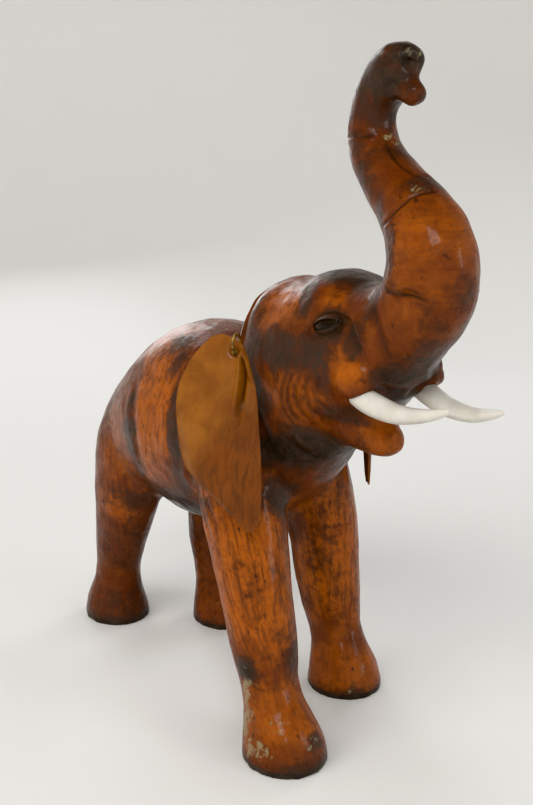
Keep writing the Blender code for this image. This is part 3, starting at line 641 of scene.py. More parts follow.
def paint(mesh, points, crease):
    stain_and_shade = blobs(points, STAINS_AND_SHADE, 0.016, 11)
    drift = fractal(points * (1.0, 1.0, 0.55), 0.050, 71, 4)
    stain_and_shade = np.maximum(stain_and_shade, soft_step(0.10, 0.85, drift) * 0.38)
    bright = blobs(points, BRIGHTS, 0.022, 23) * 0.85 + 0.15
    worn_and_highlight = blobs(points, WORN_AND_HIGHLIGHT, 0.006, 37)
    # the hide is darker towards the ground, below 16 mm
    low = soft_step(0.016, 0.003, points[:, 2])
    set_attribute(mesh, "stain_and_shade", np.clip(stain_and_shade + 0.6 * low, 0.0, 1.3))
    set_attribute(mesh, "bright", np.clip(bright, 0.0, 1.0))
    set_attribute(mesh, "worn_and_highlight", worn_and_highlight)
    # crease holds the painted shade of creases, seams and lids
    set_attribute(mesh, "crease", np.clip(crease, 0.0, 1.0))


def sculpt(item):
    mesh = item.data
    refine_round_eyes(mesh)
    points, outward = positions(mesh), normals(mesh)
    shift, crease = carve(points)
    shift += shape_trunk_tip(points)
    for _, side in SIDES:
        shift += shape_tusk_lip(points, side)
    shift += 0.0055 * np.exp(-(((points[:, 0] + 0.030) / 0.075) ** 4)) * (
        soft_step(0.285, 0.318, points[:, 2]) * (points[:, 0] < 0.040)
    )  # the top of the back
    above = soft_step(0.010, 0.030, points[:, 2])
    shift += 0.0009 * fractal(points, 0.030, 3) * above  # hand-made unevenness
    shift += 0.00035 * fractal(points * (1.0, 1.0, 0.35), 0.007, 9) * above
    deeper = np.where(points[:, 2] > CORE_TOP, np.minimum(shift + DEEPEST, 0.0), 0.0)
    shift = np.clip(shift, -DEEPEST, HIGHEST) + deeper
    points = points + shift[:, None] * outward
    for _, side in SIDES:
        points, painted_lid_shade = shape_eye(points, side)
        crease = np.maximum(crease, painted_lid_shade)
    points[:, 2] = np.maximum(points[:, 2], 0.0)
    move_points(mesh, points)
    paint(mesh, points, crease)


# ---- parting the skin along the CAD's seams ----
def beyond(points, seam):
    return (points - np.asarray(seam[0])) @ np.asarray(seam[1])


def leg_seam(leg):
    """The sloped seam over a leg, facing up."""
    _, _, flank, inner = LEG_BOXES[leg]
    side = -1.0 if leg.endswith("right") else 1.0
    slope = (flank - inner) / (FLANK - BOX_INNER)
    return (0.0, side * BOX_INNER, inner), tuple(unit((0.0, -side * slope, 1.0)))


def in_leg(points, leg, margin=0.0):
    low_x, high_x = LEG_BOXES[leg][:2]
    side = -1.0 if leg.endswith("right") else 1.0
    return (
        (points[:, 0] > low_x - margin)
        & (points[:, 0] < high_x + margin)
        & (points[:, 1] * side > BOX_INNER - margin)
        & (beyond(points, leg_seam(leg)) < margin)
    )


def in_head(points, margin=0.0):
    return (beyond(points, NECK) > -margin) & (beyond(points, THROAT) > -margin)


def in_torso(points, margin=0.0):
    inside = ~in_head(points, -margin)
    for leg in LEGS:
        inside &= ~in_leg(points, leg, -margin)
    return inside


def seam_rows():
    """Each seam with the region that it parts."""
    rows = [
        (NECK, lambda p, m: beyond(p, THROAT) > -m),
        (THROAT, lambda p, m: beyond(p, NECK) > -m),
        (TRUNK_ROOT, lambda p, m: p[:, 0] > 0.12),
        (TRUNK_BAND, lambda p, m: beyond(p, TRUNK_ROOT) > 0.0),
        (TRUNK_NECK, lambda p, m: p[:, 2] > 0.45),
        (MIDDLE, in_torso),
        (ANKLE, lambda p, m: p[:, 2] > 0.0),
        (SOLE, lambda p, m: p[:, 2] > 0.0),
    ]
    for leg in LEGS:
        low_x, high_x = LEG_BOXES[leg][:2]
        side = -1.0 if leg.endswith("right") else 1.0
        region = lambda p, m, leg=leg: in_leg(p, leg, m)
        rows.append((leg_seam(leg), region))
        rows.append((((low_x, 0.0, 0.0), (1.0, 0.0, 0.0)), region))
        rows.append((((high_x, 0.0, 0.0), (1.0, 0.0, 0.0)), region))
        rows.append((((0.0, side * BOX_INNER, 0.0), (0.0, 1.0, 0.0)), region))
    return rows


def cut_along_seams(bm):
    """Cuts the faces that lie on a seam, so that every panel ends on a clean line."""
    faces = list(bm.faces)
    middles = np.array([face.calc_center_median() for face in faces])
    for seam, region in seam_rows():
        near = (np.abs(beyond(middles, seam)) < 0.003) & region(middles, 0.004)
        chosen = [faces[number] for number in np.flatnonzero(near)]
        if not chosen:
            continue
        edges = {edge for face in chosen for edge in face.edges}
        verts = {vert for face in chosen for vert in face.verts}
        known = set(chosen)
        result = bmesh.ops.bisect_plane(
            bm, geom=[*chosen, *edges, *verts], dist=1e-5, plane_co=seam[0], plane_no=seam[1]
        )
        fresh = [item for item in result["geom"] if isinstance(item, bmesh.types.BMFace)]
        fresh = [face for face in fresh if face not in known]
        if fresh:
            faces.extend(fresh)
            middles = np.vstack((middles, [face.calc_center_median() for face in fresh]))


def owners(middles):
    """The CAD node that each face belongs to."""
    names = np.full(len(middles), "torso_leather_right", dtype=object)
    names[middles[:, 1] > 0.0] = "torso_leather_left"
    for leg in LEGS:
        inside = in_leg(middles, leg)
        names[inside] = f"leg_leather_{leg}"
        names[inside & (beyond(middles, ANKLE) < 0.0)] = f"foot_{leg}"
        names[inside & (beyond(middles, SOLE) < 0.0)] = f"sole_{leg}"
    names[in_head(middles)] = "head_leather"
    after_root = (beyond(middles, TRUNK_ROOT) > 0.0) & (middles[:, 0] > 0.10)
    names[after_root] = "trunk_leather_base"
    names[after_root & (beyond(middles, TRUNK_BAND) > 0.0)] = "trunk_leather_middle"
    names[beyond(middles, TRUNK_NECK) > 0.0] = "trunk_leather_tip"
    return names


PAINTS = ("stain_and_shade", "bright", "worn_and_highlight", "crease")


def read_faces(mesh):
    """Every face as an array of its vertex numbers."""
    corners = read(mesh.loops, "vertex_index", kind=np.int32)
    starts = read(mesh.polygons, "loop_start", kind=np.int32)
    return np.array(np.split(corners, starts[1:]), dtype=object)


def piece_of(name, points, faces, paint_values):
    """A mesh made of the given faces, with their paint."""
    used, renumbered = np.unique(np.concatenate(faces), return_inverse=True)
    ends = np.cumsum([len(face) for face in faces])
    mesh = bpy.data.meshes.new(name)
    mesh.from_pydata(points[used], [], [part.tolist() for part in np.split(renumbered, ends[:-1])])
    for paint_name, values in paint_values.items():
        set_attribute(mesh, paint_name, values[used])
    return mesh


def part_skin(item, finishes):
    """One piece with thickness for each leather CAD node."""
    whole = item.data
    with editing(whole) as bm:
        cut_along_seams(bm)
        bmesh.ops.triangulate(bm, faces=[face for face in bm.faces if len(face.verts) > 4])
        names = owners(np.array([face.calc_center_median() for face in bm.faces]))
    points, faces = positions(whole), read_faces(whole)
    paint_values = {paint: read(whole.attributes[paint].data, "value") for paint in PAINTS}
    for name in sorted(set(names)):
        mesh = piece_of(name + "_skin", points, faces[names == name], paint_values)
        finish_panel(name, mesh, finishes)
    bpy.data.objects.remove(item)


def stand_for(item, body, *nodes):
    """The piece rides on the body and stands for the nodes."""
    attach(item, body)
    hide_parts(*nodes)


def finish_panel(name, mesh, finishes):
    set_attribute(mesh, "grain", grain_of(positions(mesh), name))
    set_attribute(mesh, "fibre", fibre_of(positions(mesh), name))
    kind = "sole" if name.startswith("sole") else "leather"
    item = add_object("hide_" + name, mesh, finishes[kind])
    thick = item.modifiers.new("thickness", "SOLIDIFY")
    thick.thickness = LEATHER
    thick.offset = -1.0
    apply_modifiers(item)
    smooth_shade(item.data, 50)
    stand_for(item, "figure", name)


# ---- tubes and small forms ----
def tube(path, radii, sides=24, cap=True):
    """Verts and faces of a closed tube along a path, with a radius at each point."""
    path = np.asarray(path, float)
    verts, faces = [], []
    guide = np.array((0.0, 1.0, 0.0))
    for number, point in enumerate(path):
        ahead = path[min(number + 1, len(path) - 1)] - path[max(number - 1, 0)]
        heading = unit(ahead)
        guide = unit(guide - heading * (guide @ heading))
        across = np.cross(heading, guide)
        for side in range(sides):
            angle = 2 * math.pi * side / sides
            verts.append(point + radii[number] * (guide * math.cos(angle) + across * math.sin(angle)))
    for ring in range(len(path) - 1):
        for side in range(sides):
            other = (side + 1) % sides
            low, high = ring * sides, (ring + 1) * sides
            faces.append((low + side, low + other, high + other, high + side))
    if cap:
        faces.append(tuple(range(sides))[::-1])
        faces.append(tuple((len(path) - 1) * sides + side for side in range(sides)))
    return verts, faces


def join(parts):
    verts, faces = [], []
    for more_verts, more_faces in parts:
        start = len(verts)
        verts.extend(more_verts)
        faces.extend(tuple(index + start for index in face) for face in more_faces)
    return verts, faces


def outward_faces(mesh):
    with editing(mesh) as bm:
        bmesh.ops.recalc_face_normals(bm, faces=bm.faces)


def small_piece(name, shape, finish, body, *replaced):
    mesh = mesh_of(name, *shape)
    outward_faces(mesh)
    smooth_shade(mesh, 60)
    item = add_object(name, mesh, finish)
    stand_for(item, body, *replaced)


# ---- tusks ----
TUSKS = {  # centre x, y, z and radius; given one by one, so the two differ
    "right": (
        (160, -30.2, 321.4, 5.6), (166, -30.6, 319.2, 7.4), (177, -31.5, 315.5, 8.8), (194, -33, 313, 9),
        (215, -34, 311.6, 7.8), (234, -34.5, 313.3, 6.2), (253, -34, 317.4, 4.5),
        (265, -33.1, 321.4, 3.1), (270.5, -32.7, 323.4, 1.8), (271.8, -32.6, 323.9, 0.4),
    ),
    "left": (
        (158, 29.2, 321.2, 5.6), (164, 29.4, 318.3, 7.2), (174.6, 30, 314.1, 8.5), (186, 30.5, 310, 8.8),
        (200, 31, 305.5, 8), (217, 31.5, 303.4, 6.9), (233.5, 31.5, 304.3, 5.6), (250, 31, 308.6, 3.8),
        (259, 30.6, 311.5, 2.2), (261.2, 30.5, 312.2, 0.4),
    ),
}


def make_tusk(side_name, finish):
    rows = curve(np.array(TUSKS[side_name]) / 1000)
    shape = tube(rows[:, :3], rows[:, 3], 32)
    small_piece("ivory_" + side_name, shape, finish, "figure", "tusk_" + side_name)


# ---- eyes ----
def make_eyeball(name, side, finish):
    along, up, out = eye_frame(side)
    centre = EYE_CENTRE * (1.0, side, 1.0)
    sphere = bmesh.new()
    bmesh.ops.create_uvsphere(sphere, u_segments=48, v_segments=32, radius=1.0)
    mesh = bpy.data.meshes.new("ball_" + name)
    for vert in sphere.verts:
        u, v, w = vert.co
        vert.co = centre + along * u * GLASS_ALONG + up * v * GLASS_UP + out * w * GLASS_OUT
    sphere.to_mesh(mesh)
    sphere.free()
    outward_faces(mesh)
    mesh.shade_smooth()
    item = add_object("ball_" + name, mesh, finish)
    stand_for(item, "figure", name)


# ---- ears ----
EAR_ROOT = np.array((0.0645, 0.0625, 0.3400))
EAR_ALONG = np.array((-0.829, 0.559, 0.0))  # from the root towards the rear edge, left side
EAR_HANG = {"right": (12.7, 0.0), "left": (4.0, 18.0)}  # degrees out, and the tip's swing back
EAR_THICK = 0.0018
EAR_HOLE = (0.0055, 0.0050)
EAR_REAR = (  # behind the root, below the root
    (20, -8.2), (28, -5), (38, 5), (47, 18), (54, 36), (55, 54), (52.5, 71), (49, 86), (43, 100),
    (32, 112), (15, 125), (-4, 139), (-16, 149),
)
EAR_FRONT = (
    (18, -8.3), (9, -5.5), (1, -1.5), (-4, 6), (-8, 15), (-12, 26), (-15.5, 42), (-19, 64), (-23.5, 92),
    (-25.5, 112), (-26.2, 128), (-24.5, 141), (-20.5, 149),
)
# path in the ear's plane, width, height outwards
EAR_PLEATS = (
    (((-1, 4), (-5, 12), (-9, 21), (-12.5, 31)), 2.2, 4.2),
    (((1, 6), (0, 20), (0, 40), (1, 62)), 2, 4),
    (((-2, 10), (-4.5, 20), (-4.5, 35), (-4, 50)), 1.8, -3.4),
    (((8, 3), (14, 16), (17, 34)), 6, 1),
    (((1, 58), (-2, 62), (1, 67)), 2.2, 1.6),
    (((-2, 50), (-5, 58), (-3, 68)), 1.8, -1.2),
    (((2, 46), (6, 58), (12, 69), (20, 79), (28, 89), (36, 98)), 4.6, 1),
    (((-1, 55), (3, 66), (9, 76), (17, 87), (26, 98), (33, 106)), 5, -0.7),
)
EAR_CREASE = (0.0075, 0.0655), (0.0245, 0.0880)  # the long soft crease across the ear


def ear_axes(name, side):
    """The ear's plane: along it, down it and out of it."""
    flare, swing = (math.radians(degrees) for degrees in EAR_HANG[name])
    hinge = unit(EAR_ALONG * (1.0, side, 1.0))
    level_out = np.array((hinge[1] * side, -hinge[0] * side, 0.0))
    hanging = np.array((0.0, 0.0, -1.0)) * math.cos(flare) + level_out * math.sin(flare)
    along = hinge * math.cos(swing) - hanging * math.sin(swing)
    down = hanging * math.cos(swing) + hinge * math.sin(swing)
    return along, down, unit(np.cross(along, down) * -side)


def ear_form(plane, across, drop_share):
    """Height of the ear's middle out of its plane."""
    crown = np.sin(math.pi * across) * np.sin(math.pi * drop_share)
    height = 0.007 * crown
    for path, width, rise in in_metres(EAR_PLEATS):
        gap, along = line_distance(plane, curve(path))
        ends = soft_step(0.0, 0.12, along + 0.06) * soft_step(0.0, 0.25, 1.0 - along)
        height += rise * bell(gap, width) * ends
    flat = np.column_stack((plane, np.zeros(len(plane))))
    height += 0.0012 * noise(flat, 0.034, 4) + 0.0004 * noise(flat, 0.011, 8)
    curl = soft_step(0.86, 1.0, 1.0 - across) * soft_step(0.15, 0.5, drop_share)
    return height - 0.0016 * curl


def make_ear(name, side, finish, edge_finish):
    along, down, out = ear_axes(name, side)
    root = EAR_ROOT * (1.0, side, 1.0)
    rear, front = (curve(np.array(edge) / 1000, 14) for edge in (EAR_REAR, EAR_FRONT))
    columns = 96
    share = np.linspace(0.0, 1.0, columns)
    plane = rear[:, None] * (1 - share)[None, :, None] + front[:, None] * share[None, :, None]
    plane = plane.reshape(-1, 2)
    across = np.tile(share, len(rear))
    drop_share = np.clip((plane[:, 1] + 0.0082) / 0.1572, 0.0, 1.0)
    hole_gap = lengths(plane - EAR_HOLE)
    height = ear_form(plane, across, drop_share) * soft_step(0.001, 0.007, hole_gap)
    verts = root + plane[:, :1] * along + plane[:, 1:] * down + height[:, None] * out
    faces = []
    for row in range(len(rear) - 1):
        for column in range(columns - 1):
            a = row * columns + column
            corners = (a, a + 1, a + columns + 1, a + columns)
            if min(hole_gap[list(corners)]) > 0.0013:
                faces.append(corners)
    mesh = mesh_of("flap_" + name, verts, faces)
    shade = np.zeros(len(verts))
    for path, width, rise in in_metres(EAR_PLEATS):
        gap, _ = line_distance(plane, curve(path))
        if rise < 0:
            shade = np.maximum(shade, bell(gap, width) * min(1.0, rise / -0.0034) ** 2)
    # below the long soft crease the ear is darker: partly its own streaky hide, partly painted shade
    low = soft_step(-0.02, 0.02, line_side(plane) + 0.006 * noise(verts, 0.02, 3))
    set_attribute(mesh, "crease", shade)
    set_attribute(mesh, "lower", low)
    set_attribute(mesh, "grain", np.column_stack((plane, height)))
    item = add_object("flap_" + name, mesh, finish)
    mesh.materials.append(edge_finish)
    thick = item.modifiers.new("thickness", "SOLIDIFY")
    thick.thickness = EAR_THICK
    thick.offset = 0.0
    thick.material_offset_rim = 1
    apply_modifiers(item)
    outward_faces(item.data)
    smooth_shade(item.data, 55)
    stand_for(item, "ear_" + name, "ear_" + name)


def line_side(plane):
    """How far below the ear's long soft crease a point is."""
    run = unit(np.subtract(EAR_CREASE[1], EAR_CREASE[0]))
    return (plane - EAR_CREASE[0]) @ np.array((-run[1], run[0]))


def make_tie(name, side, finish):
    """A thong loop through the ear and the head, with its knot on the ear."""
    along, down, _ = ear_axes(name, side)
    root = EAR_ROOT * (1.0, side, 1.0)
    hole = root + along * EAR_HOLE[0] + down * EAR_HOLE[1]
    hinge = unit(EAR_ALONG * (1.0, side, 1.0))
    level = unit(np.array((hinge[1] * side, -hinge[0] * side, 0.0)))
    ring = 0.0072
    centre = hole + np.array((0.0, 0.0, ring))
    loop = []
    for step in range(40):
        angle = 2 * math.pi * step / 40
        loop.append(centre + ring * (level * math.sin(angle) - np.array((0, 0, 1)) * math.cos(angle)))
    parts = [tube(loop + loop[:1], [0.0011] * 41, 10)]
    for start, turn, length in ((0.0, 0.5, 0.010), (0.9, -0.7, 0.012), (2.0, 0.2, 0.007)):
        knot = hole + level * 0.0024 + np.array((0.0, 0.0, 0.0016))
        path = []
        for step in range(9):
            t = step / 8
            path.append(
                knot + level * 0.0014 * math.sin(3.1 * t + start)
                + hinge * (0.0022 * math.cos(5.0 * t + start)) - np.array((0, 0, 1)) * length * t
                + hinge * turn * length * t * 0.4
            )
        parts.append(tube(path, [0.0010 * (1.0 - 0.55 * step / 8) for step in range(9)], 8))
    small_piece("thong_" + name, join(parts), finish, "figure", "ear_tie_" + name)


# ---- tail ----
TAIL = (
    (-253, 0, 246), (-255, 0, 234), (-261, 0, 222), (-265.5, 0, 206), (-267, 0, 174), (-266.5, 0, 144),
)


def make_tail(finish):
    """Two thongs twisted together."""
    path = curve(np.array(TAIL) / 1000, 14)
    parts = []
    for start in (0.0, math.pi):
        strand = []
        for number, point in enumerate(path):
            ahead = unit(path[min(number + 1, len(path) - 1)] - path[max(number - 1, 0)])
            across = np.array((0.0, 1.0, 0.0))
            over = np.cross(ahead, across)
            angle = start + number * 0.42
            strand.append(point + 0.0014 * (across * math.cos(angle) + over * math.sin(angle)))
        radii = [0.0019 - 0.0004 * number / len(path) for number in range(len(path))]
        parts.append(tube(strand, radii, 10))
    small_piece("twisted_tail", join(parts), finish, "tail", "tail")


def make_tuft(finish):
    """Thin strips that hang below a bound ring."""
    top = np.array(TAIL[-1]) / 1000
    rng = np.random.default_rng(7)
    ring = [top + (0.0024 * math.cos(a), 0.0024 * math.sin(a), 0.0008 * math.sin(2 * a))
            for a in np.linspace(0, 2 * math.pi, 17)]
    parts = [tube(ring, [0.0010] * 17, 8, cap=False)]
    for strip in range(26):
        angle = 2.4 * strip
        reach = 0.0008 + 0.0036 * rng.random()
        length = 0.021 + 0.009 * rng.random()
        path = []
        for step in range(7):
            t = step / 6
            spread = reach * (0.35 + 1.1 * t - 0.8 * t * t)
            path.append(top + (spread * math.cos(angle), spread * math.sin(angle), 0.002 - length * t))
        parts.append(tube(path, [0.0007, 0.0009, 0.0009, 0.0008, 0.0007, 0.0005, 0.0002], 6))
    small_piece("tuft_strips", join(parts), finish, "tail", "tail_tuft")


def make_tack(finish):
    """A round-headed tack."""
    low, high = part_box("tail_tack")
    middle = (low + high) / 2
    profile = (  # share of the length, radius
        (0.0, 0.0010), (0.70, 0.0010), (0.70, 0.0024), (0.78, 0.0026), (0.88, 0.0023), (0.96, 0.0014),
        (1.0, 0.0003),
    )
    path = [(high.x + (low.x - high.x) * share, middle.y, middle.z) for share, _ in profile]
    radii = [radius for _, radius in profile]
    path[2] = (path[2][0] - 1e-5, *path[2][1:])
    small_piece("round_tack", tube(path, radii, 24), finish, "figure", "tail_tack")


# ---- materials ----
class Nodes:
    """A material's node tree, with one short call for each kind of node."""

    def __init__(self, name, slot_colour, roughness):
        self.material = bpy.data.materials.new(name)
        self.material.use_nodes = True
        self.tree = self.material.node_tree
        self.shader = self.tree.nodes["Principled BSDF"]
        self.shader.inputs["Base Color"].default_value = (*slot_colour, 1.0)
        self.shader.inputs["Roughness"].default_value = roughness
        self.last_bump = None

    def link(self, source, target):
        self.tree.links.new(source, target)

    def attribute(self, name, output="Fac"):
        node = self.tree.nodes.new("ShaderNodeAttribute")
        node.attribute_name = name
        return node.outputs[output]

    def scaled(self, vector, scale):
        node = self.tree.nodes.new("ShaderNodeMapping")
        node.inputs["Scale"].default_value = scale
        self.link(vector, node.inputs["Vector"])
        return node.outputs["Vector"]

    def noise(self, vector, scale, detail=4.0, rough=0.55, distortion=0.0):
        node = self.tree.nodes.new("ShaderNodeTexNoise")
        sizes = {"Scale": scale, "Detail": detail, "Roughness": rough, "Distortion": distortion}
        for key, value in sizes.items():
            node.inputs[key].default_value = value
        self.link(vector, node.inputs["Vector"])
        return node.outputs["Fac"]

    def cells(self, vector, scale):
        node = self.tree.nodes.new("ShaderNodeTexVoronoi")
        node.feature = "DISTANCE_TO_EDGE"
        node.inputs["Scale"].default_value = scale
        self.link(vector, node.inputs["Vector"])
        return node.outputs["Distance"]

    def range(self, value, low, high, to_low=0.0, to_high=1.0):
        node = self.tree.nodes.new("ShaderNodeMapRange")
        node.interpolation_type = "SMOOTHSTEP"
        self.link(value, node.inputs["Value"])
        for key, number in (("From Min", low), ("From Max", high), ("To Min", to_low), ("To Max", to_high)):
            node.inputs[key].default_value = number
        return node.outputs["Result"]

    def math(self, operation, *values):
        node = self.tree.nodes.new("ShaderNodeMath")
        node.operation = operation
        for socket, value in zip(node.inputs, values):
            if isinstance(value, (int, float)):
                socket.default_value = value
            else:
                self.link(value, socket)
        return node.outputs["Value"]

    def times(self, a, b):
        return self.math("MULTIPLY", a, b)

    def stir(self, value, noise, amount):
        """The value, pushed up and down by a noise that is taken about its middle."""
        return self.math("MULTIPLY_ADD", self.math("SUBTRACT", noise, 0.5), amount, value)

    def feed(self, **sources):
        """Links each source to the shader's socket of that name."""
        for key, source in sources.items():
            self.link(source, self.shader.inputs[key.replace("_", " ")])

    def mix(self, share, a, b):
        node = self.tree.nodes.new("ShaderNodeMix")
        node.data_type = "RGBA"
        for socket, value in ((node.inputs[0], share), (node.inputs[6], a), (node.inputs[7], b)):
            if isinstance(value, (int, float)):
                socket.default_value = value
            elif isinstance(value, tuple):
                socket.default_value = (*value, 1.0)
            else:
                self.link(value, socket)
        return node.outputs[2]

    def bump(self, height, strength, distance):
        node = self.tree.nodes.new("ShaderNodeBump")
        node.inputs["Strength"].default_value = strength
        node.inputs["Distance"].default_value = distance
        self.link(height, node.inputs["Height"])
        if self.last_bump:
            self.link(self.last_bump, node.inputs["Normal"])
        self.last_bump = node.outputs["Normal"]
        self.link(self.last_bump, self.shader.inputs["Normal"])

    def set(self, **values):
        for key, value in values.items():
            self.shader.inputs[key.replace("_", " ")].default_value = value


ORANGE = (0.36, 0.086, 0.004)
CHESTNUT = (0.110, 0.022, 0.002)
RED_BROWN = (0.120, 0.022, 0.003)
DEEP_BROWN = (0.055, 0.014, 0.004)
GREY_BROWN = (0.038, 0.026, 0.020)
NEAR_BLACK = (0.010, 0.006, 0.004)
PALE = (0.30, 0.25, 0.15)


def leather():
    n = Nodes("waxed_leather", ORANGE, 0.36)
    grain = n.attribute("grain", "Vector")
    fibres = n.noise(n.scaled(grain, (1.0, 1.0, 0.07)), 300.0, 5.0, 0.62, 0.3)
    broad = n.noise(n.scaled(grain, (1.0, 1.0, 0.15)), 90.0, 4.0, 0.55, 0.7)
    mottle = n.noise(grain, 42.0, 6.0, 0.62, 0.6)
    fine = n.noise(grain, 190.0, 5.0, 0.65)

    tone = n.stir(n.stir(n.attribute("bright"), mottle, 1.3), broad, 0.8)
    colour = n.mix(n.range(tone, -0.05, 1.10), CHESTNUT, ORANGE)
    clouds = n.noise(grain, 78.0, 8.0, 0.72, 0.25)
    colour = n.mix(n.range(clouds, 0.46, 0.68, 0.0, 0.62), colour, RED_BROWN)
    lines = n.times(n.range(fibres, 0.45, 0.66, 0.0, 0.75), n.attribute("fibre"))
    colour = n.mix(lines, colour, DEEP_BROWN)
    flecks = n.noise(n.scaled(grain, (1.0, 1.0, 0.45)), 240.0, 3.0, 0.5)
    colour = n.mix(n.range(flecks, 0.63, 0.73, 0.0, 0.75), colour, NEAR_BLACK)

    # stains together with painted shade under the body, behind the ears and in the mouth, darkened in three
    # steps
    stain_and_shade_level = n.attribute("stain_and_shade")
    for noise_value, amount in ((mottle, 1.0), (broad, 0.5), (clouds, 1.0), (fine, 1.3)):
        stain_and_shade_level = n.stir(stain_and_shade_level, noise_value, amount)
    colour = n.mix(n.range(stain_and_shade_level, 0.05, 0.70, 0.0, 0.80), colour, DEEP_BROWN)
    colour = n.mix(n.range(stain_and_shade_level, 0.35, 1.22, 0.0, 0.94), colour, GREY_BROWN)
    colour = n.mix(n.range(stain_and_shade_level, 1.05, 1.50, 0.0, 0.80), colour, NEAR_BLACK)

    crackle = n.range(n.cells(n.scaled(grain, (1.0, 1.0, 0.45)), 130.0), 0.0, 0.03, 1.0, 0.0)
    crackle = n.times(crackle, n.range(mottle, 0.54, 0.68))
    # painted shade in the creases, joined with the dark lines of the crackle
    crease = n.math("MAXIMUM", n.attribute("crease"), n.times(crackle, 0.4))
    colour = n.mix(n.times(crease, 0.85), colour, NEAR_BLACK)
    # pale worn spots, which on the front right foot are also a painted highlight
    pale_wear_and_highlight = n.stir(n.attribute("worn_and_highlight"), fine, 3.2)
    pale_wear_and_highlight = n.times(n.range(pale_wear_and_highlight, 0.55, 1.05), n.range(n.attribute("worn_and_highlight"), 0.1, 0.4))
    colour = n.mix(n.times(pale_wear_and_highlight, 0.75), colour, PALE)
    rough = n.math("MULTIPLY_ADD", pale_wear_and_highlight, 0.3, n.range(clouds, 0.32, 0.68, 0.28, 0.50))
    n.feed(Base_Color=colour, Roughness=rough)
    n.set(Specular_IOR_Level=0.34, Coat_Weight=0.32, Coat_Roughness=0.13, Coat_IOR=1.45)
    n.bump(broad, 0.35, 0.0018)
    n.bump(n.noise(grain, 105.0, 9.0, 0.68, 1.4), 0.85, 0.0019)
    n.bump(n.times(fibres, n.attribute("fibre")), 0.60, 0.0008)
    n.bump(n.noise(grain, 620.0, 4.0, 0.65), 0.40, 0.0004)
    n.bump(crackle, 0.35, -0.0005)
    n.bump(pale_wear_and_highlight, 0.5, -0.0004)
    return n.material


def ear_leather():
    n = Nodes("ear_leather", (0.40, 0.170, 0.040), 0.42)
    grain = n.attribute("grain", "Vector")
    streaks = n.noise(n.scaled(grain, (1.0, 0.22, 1.0)), 190.0, 4.0, 0.6, 0.5)
    mottle = n.noise(grain, 42.0, 5.0, 0.6, 0.4)
    fine = n.noise(grain, 520.0, 4.0, 0.6)
    lower = n.attribute("lower")
    colour = n.mix(n.range(mottle, 0.32, 0.70), (0.165, 0.050, 0.006), (0.262, 0.092, 0.013))
    # the lower ear's darker tone: partly its own streaky hide, partly painted shade
    lower_hide_and_shade = n.mix(n.range(streaks, 0.35, 0.65), (0.070, 0.016, 0.001), (0.150, 0.036, 0.002))
    colour = n.mix(n.times(lower, 0.85), colour, lower_hide_and_shade)
    colour = n.mix(n.range(fine, 0.60, 0.78, 0.0, 0.35), colour, (0.15, 0.040, 0.008))
    # painted shade in the ear's grooves
    colour = n.mix(n.times(n.attribute("crease"), 0.75), colour, (0.040, 0.014, 0.005))
    n.feed(Base_Color=colour, Roughness=n.range(lower, 0.0, 1.0, 0.36, 0.52))
    n.set(Specular_IOR_Level=0.45, Coat_Weight=0.18, Coat_Roughness=0.25)
    n.bump(streaks, 0.30, 0.0009)
    n.bump(mottle, 0.25, 0.0020)
    n.bump(fine, 0.30, 0.0004)
    return n.material


def plain_place(n, scale=(1.0, 1.0, 1.0)):
    node = n.tree.nodes.new("ShaderNodeTexCoord")
    return n.scaled(node.outputs["Object"], scale)


def simple(name, dark, light, roughness, size, stretch=(1.0, 1.0, 1.0), bump=0.0004, **more):
    """A two-tone material with noise, fine bump and uneven gloss."""
    n = Nodes(name, light, roughness)
    place = plain_place(n, stretch)
    patches = n.noise(place, size, 5.0, 0.6, 0.3)
    fine = n.noise(place, size * 6.0, 4.0, 0.6)
    colour = n.mix(n.range(patches, 0.34, 0.66), dark, light)
    colour = n.mix(n.range(fine, 0.56, 0.76, 0.0, 0.4), colour, tuple(0.5 * part for part in dark))
    n.feed(Base_Color=colour, Roughness=n.range(fine, 0.3, 0.7, roughness - 0.06, roughness + 0.08))
    n.set(**more)
    n.bump(patches, 0.3, bump * 2)
    n.bump(fine, 0.35, bump)
    return n.material


def ivory():
    n = Nodes("ivory", (0.80, 0.76, 0.66), 0.28)
    place = plain_place(n)
    clouds = n.noise(place, 60.0, 4.0, 0.5)
    spots = n.noise(place, 240.0, 3.0, 0.6)
    colour = n.mix(n.range(clouds, 0.30, 0.70), (0.58, 0.55, 0.49), (0.69, 0.67, 0.62))
    colour = n.mix(n.range(spots, 0.66, 0.76, 0.0, 0.45), colour, (0.66, 0.52, 0.22))
    n.feed(Base_Color=colour)
    n.set(Subsurface_Weight=0.25, Subsurface_Radius=(0.006, 0.004, 0.002), Subsurface_Scale=1.0,
          Coat_Weight=0.35, Coat_Roughness=0.10)
    n.bump(n.noise(n.scaled(place, (0.3, 1.0, 1.0)), 320.0, 3.0), 0.12, 0.0004)
    return n.material


def eye_glass():
    n = Nodes("eye_glass", (0.010, 0.007, 0.005), 0.14)
    place = plain_place(n)
    ring = n.noise(place, 300.0, 3.0, 0.5)
    n.feed(Base_Color=n.mix(n.range(ring, 0.4, 0.7), (0.006, 0.004, 0.003), (0.030, 0.017, 0.010)))
    n.set(Specular_IOR_Level=0.35)
    return n.material


def wood():
    n = Nodes("carved_wood", (0.42, 0.26, 0.13), 0.6)
    place = plain_place(n, (1.0, 1.0, 0.15))
    rings = n.noise(place, 120.0, 4.0, 0.6, 1.2)
    n.feed(Base_Color=n.mix(n.range(rings, 0.3, 0.7), (0.30, 0.17, 0.08), (0.50, 0.33, 0.18)))
    n.bump(rings, 0.3, 0.0008)
    return n.material


# ---- stage ----
def look_at(item, target):
    way = Vector(target) - item.location
    item.rotation_euler = way.to_track_quat("-Z", "Y").to_euler()


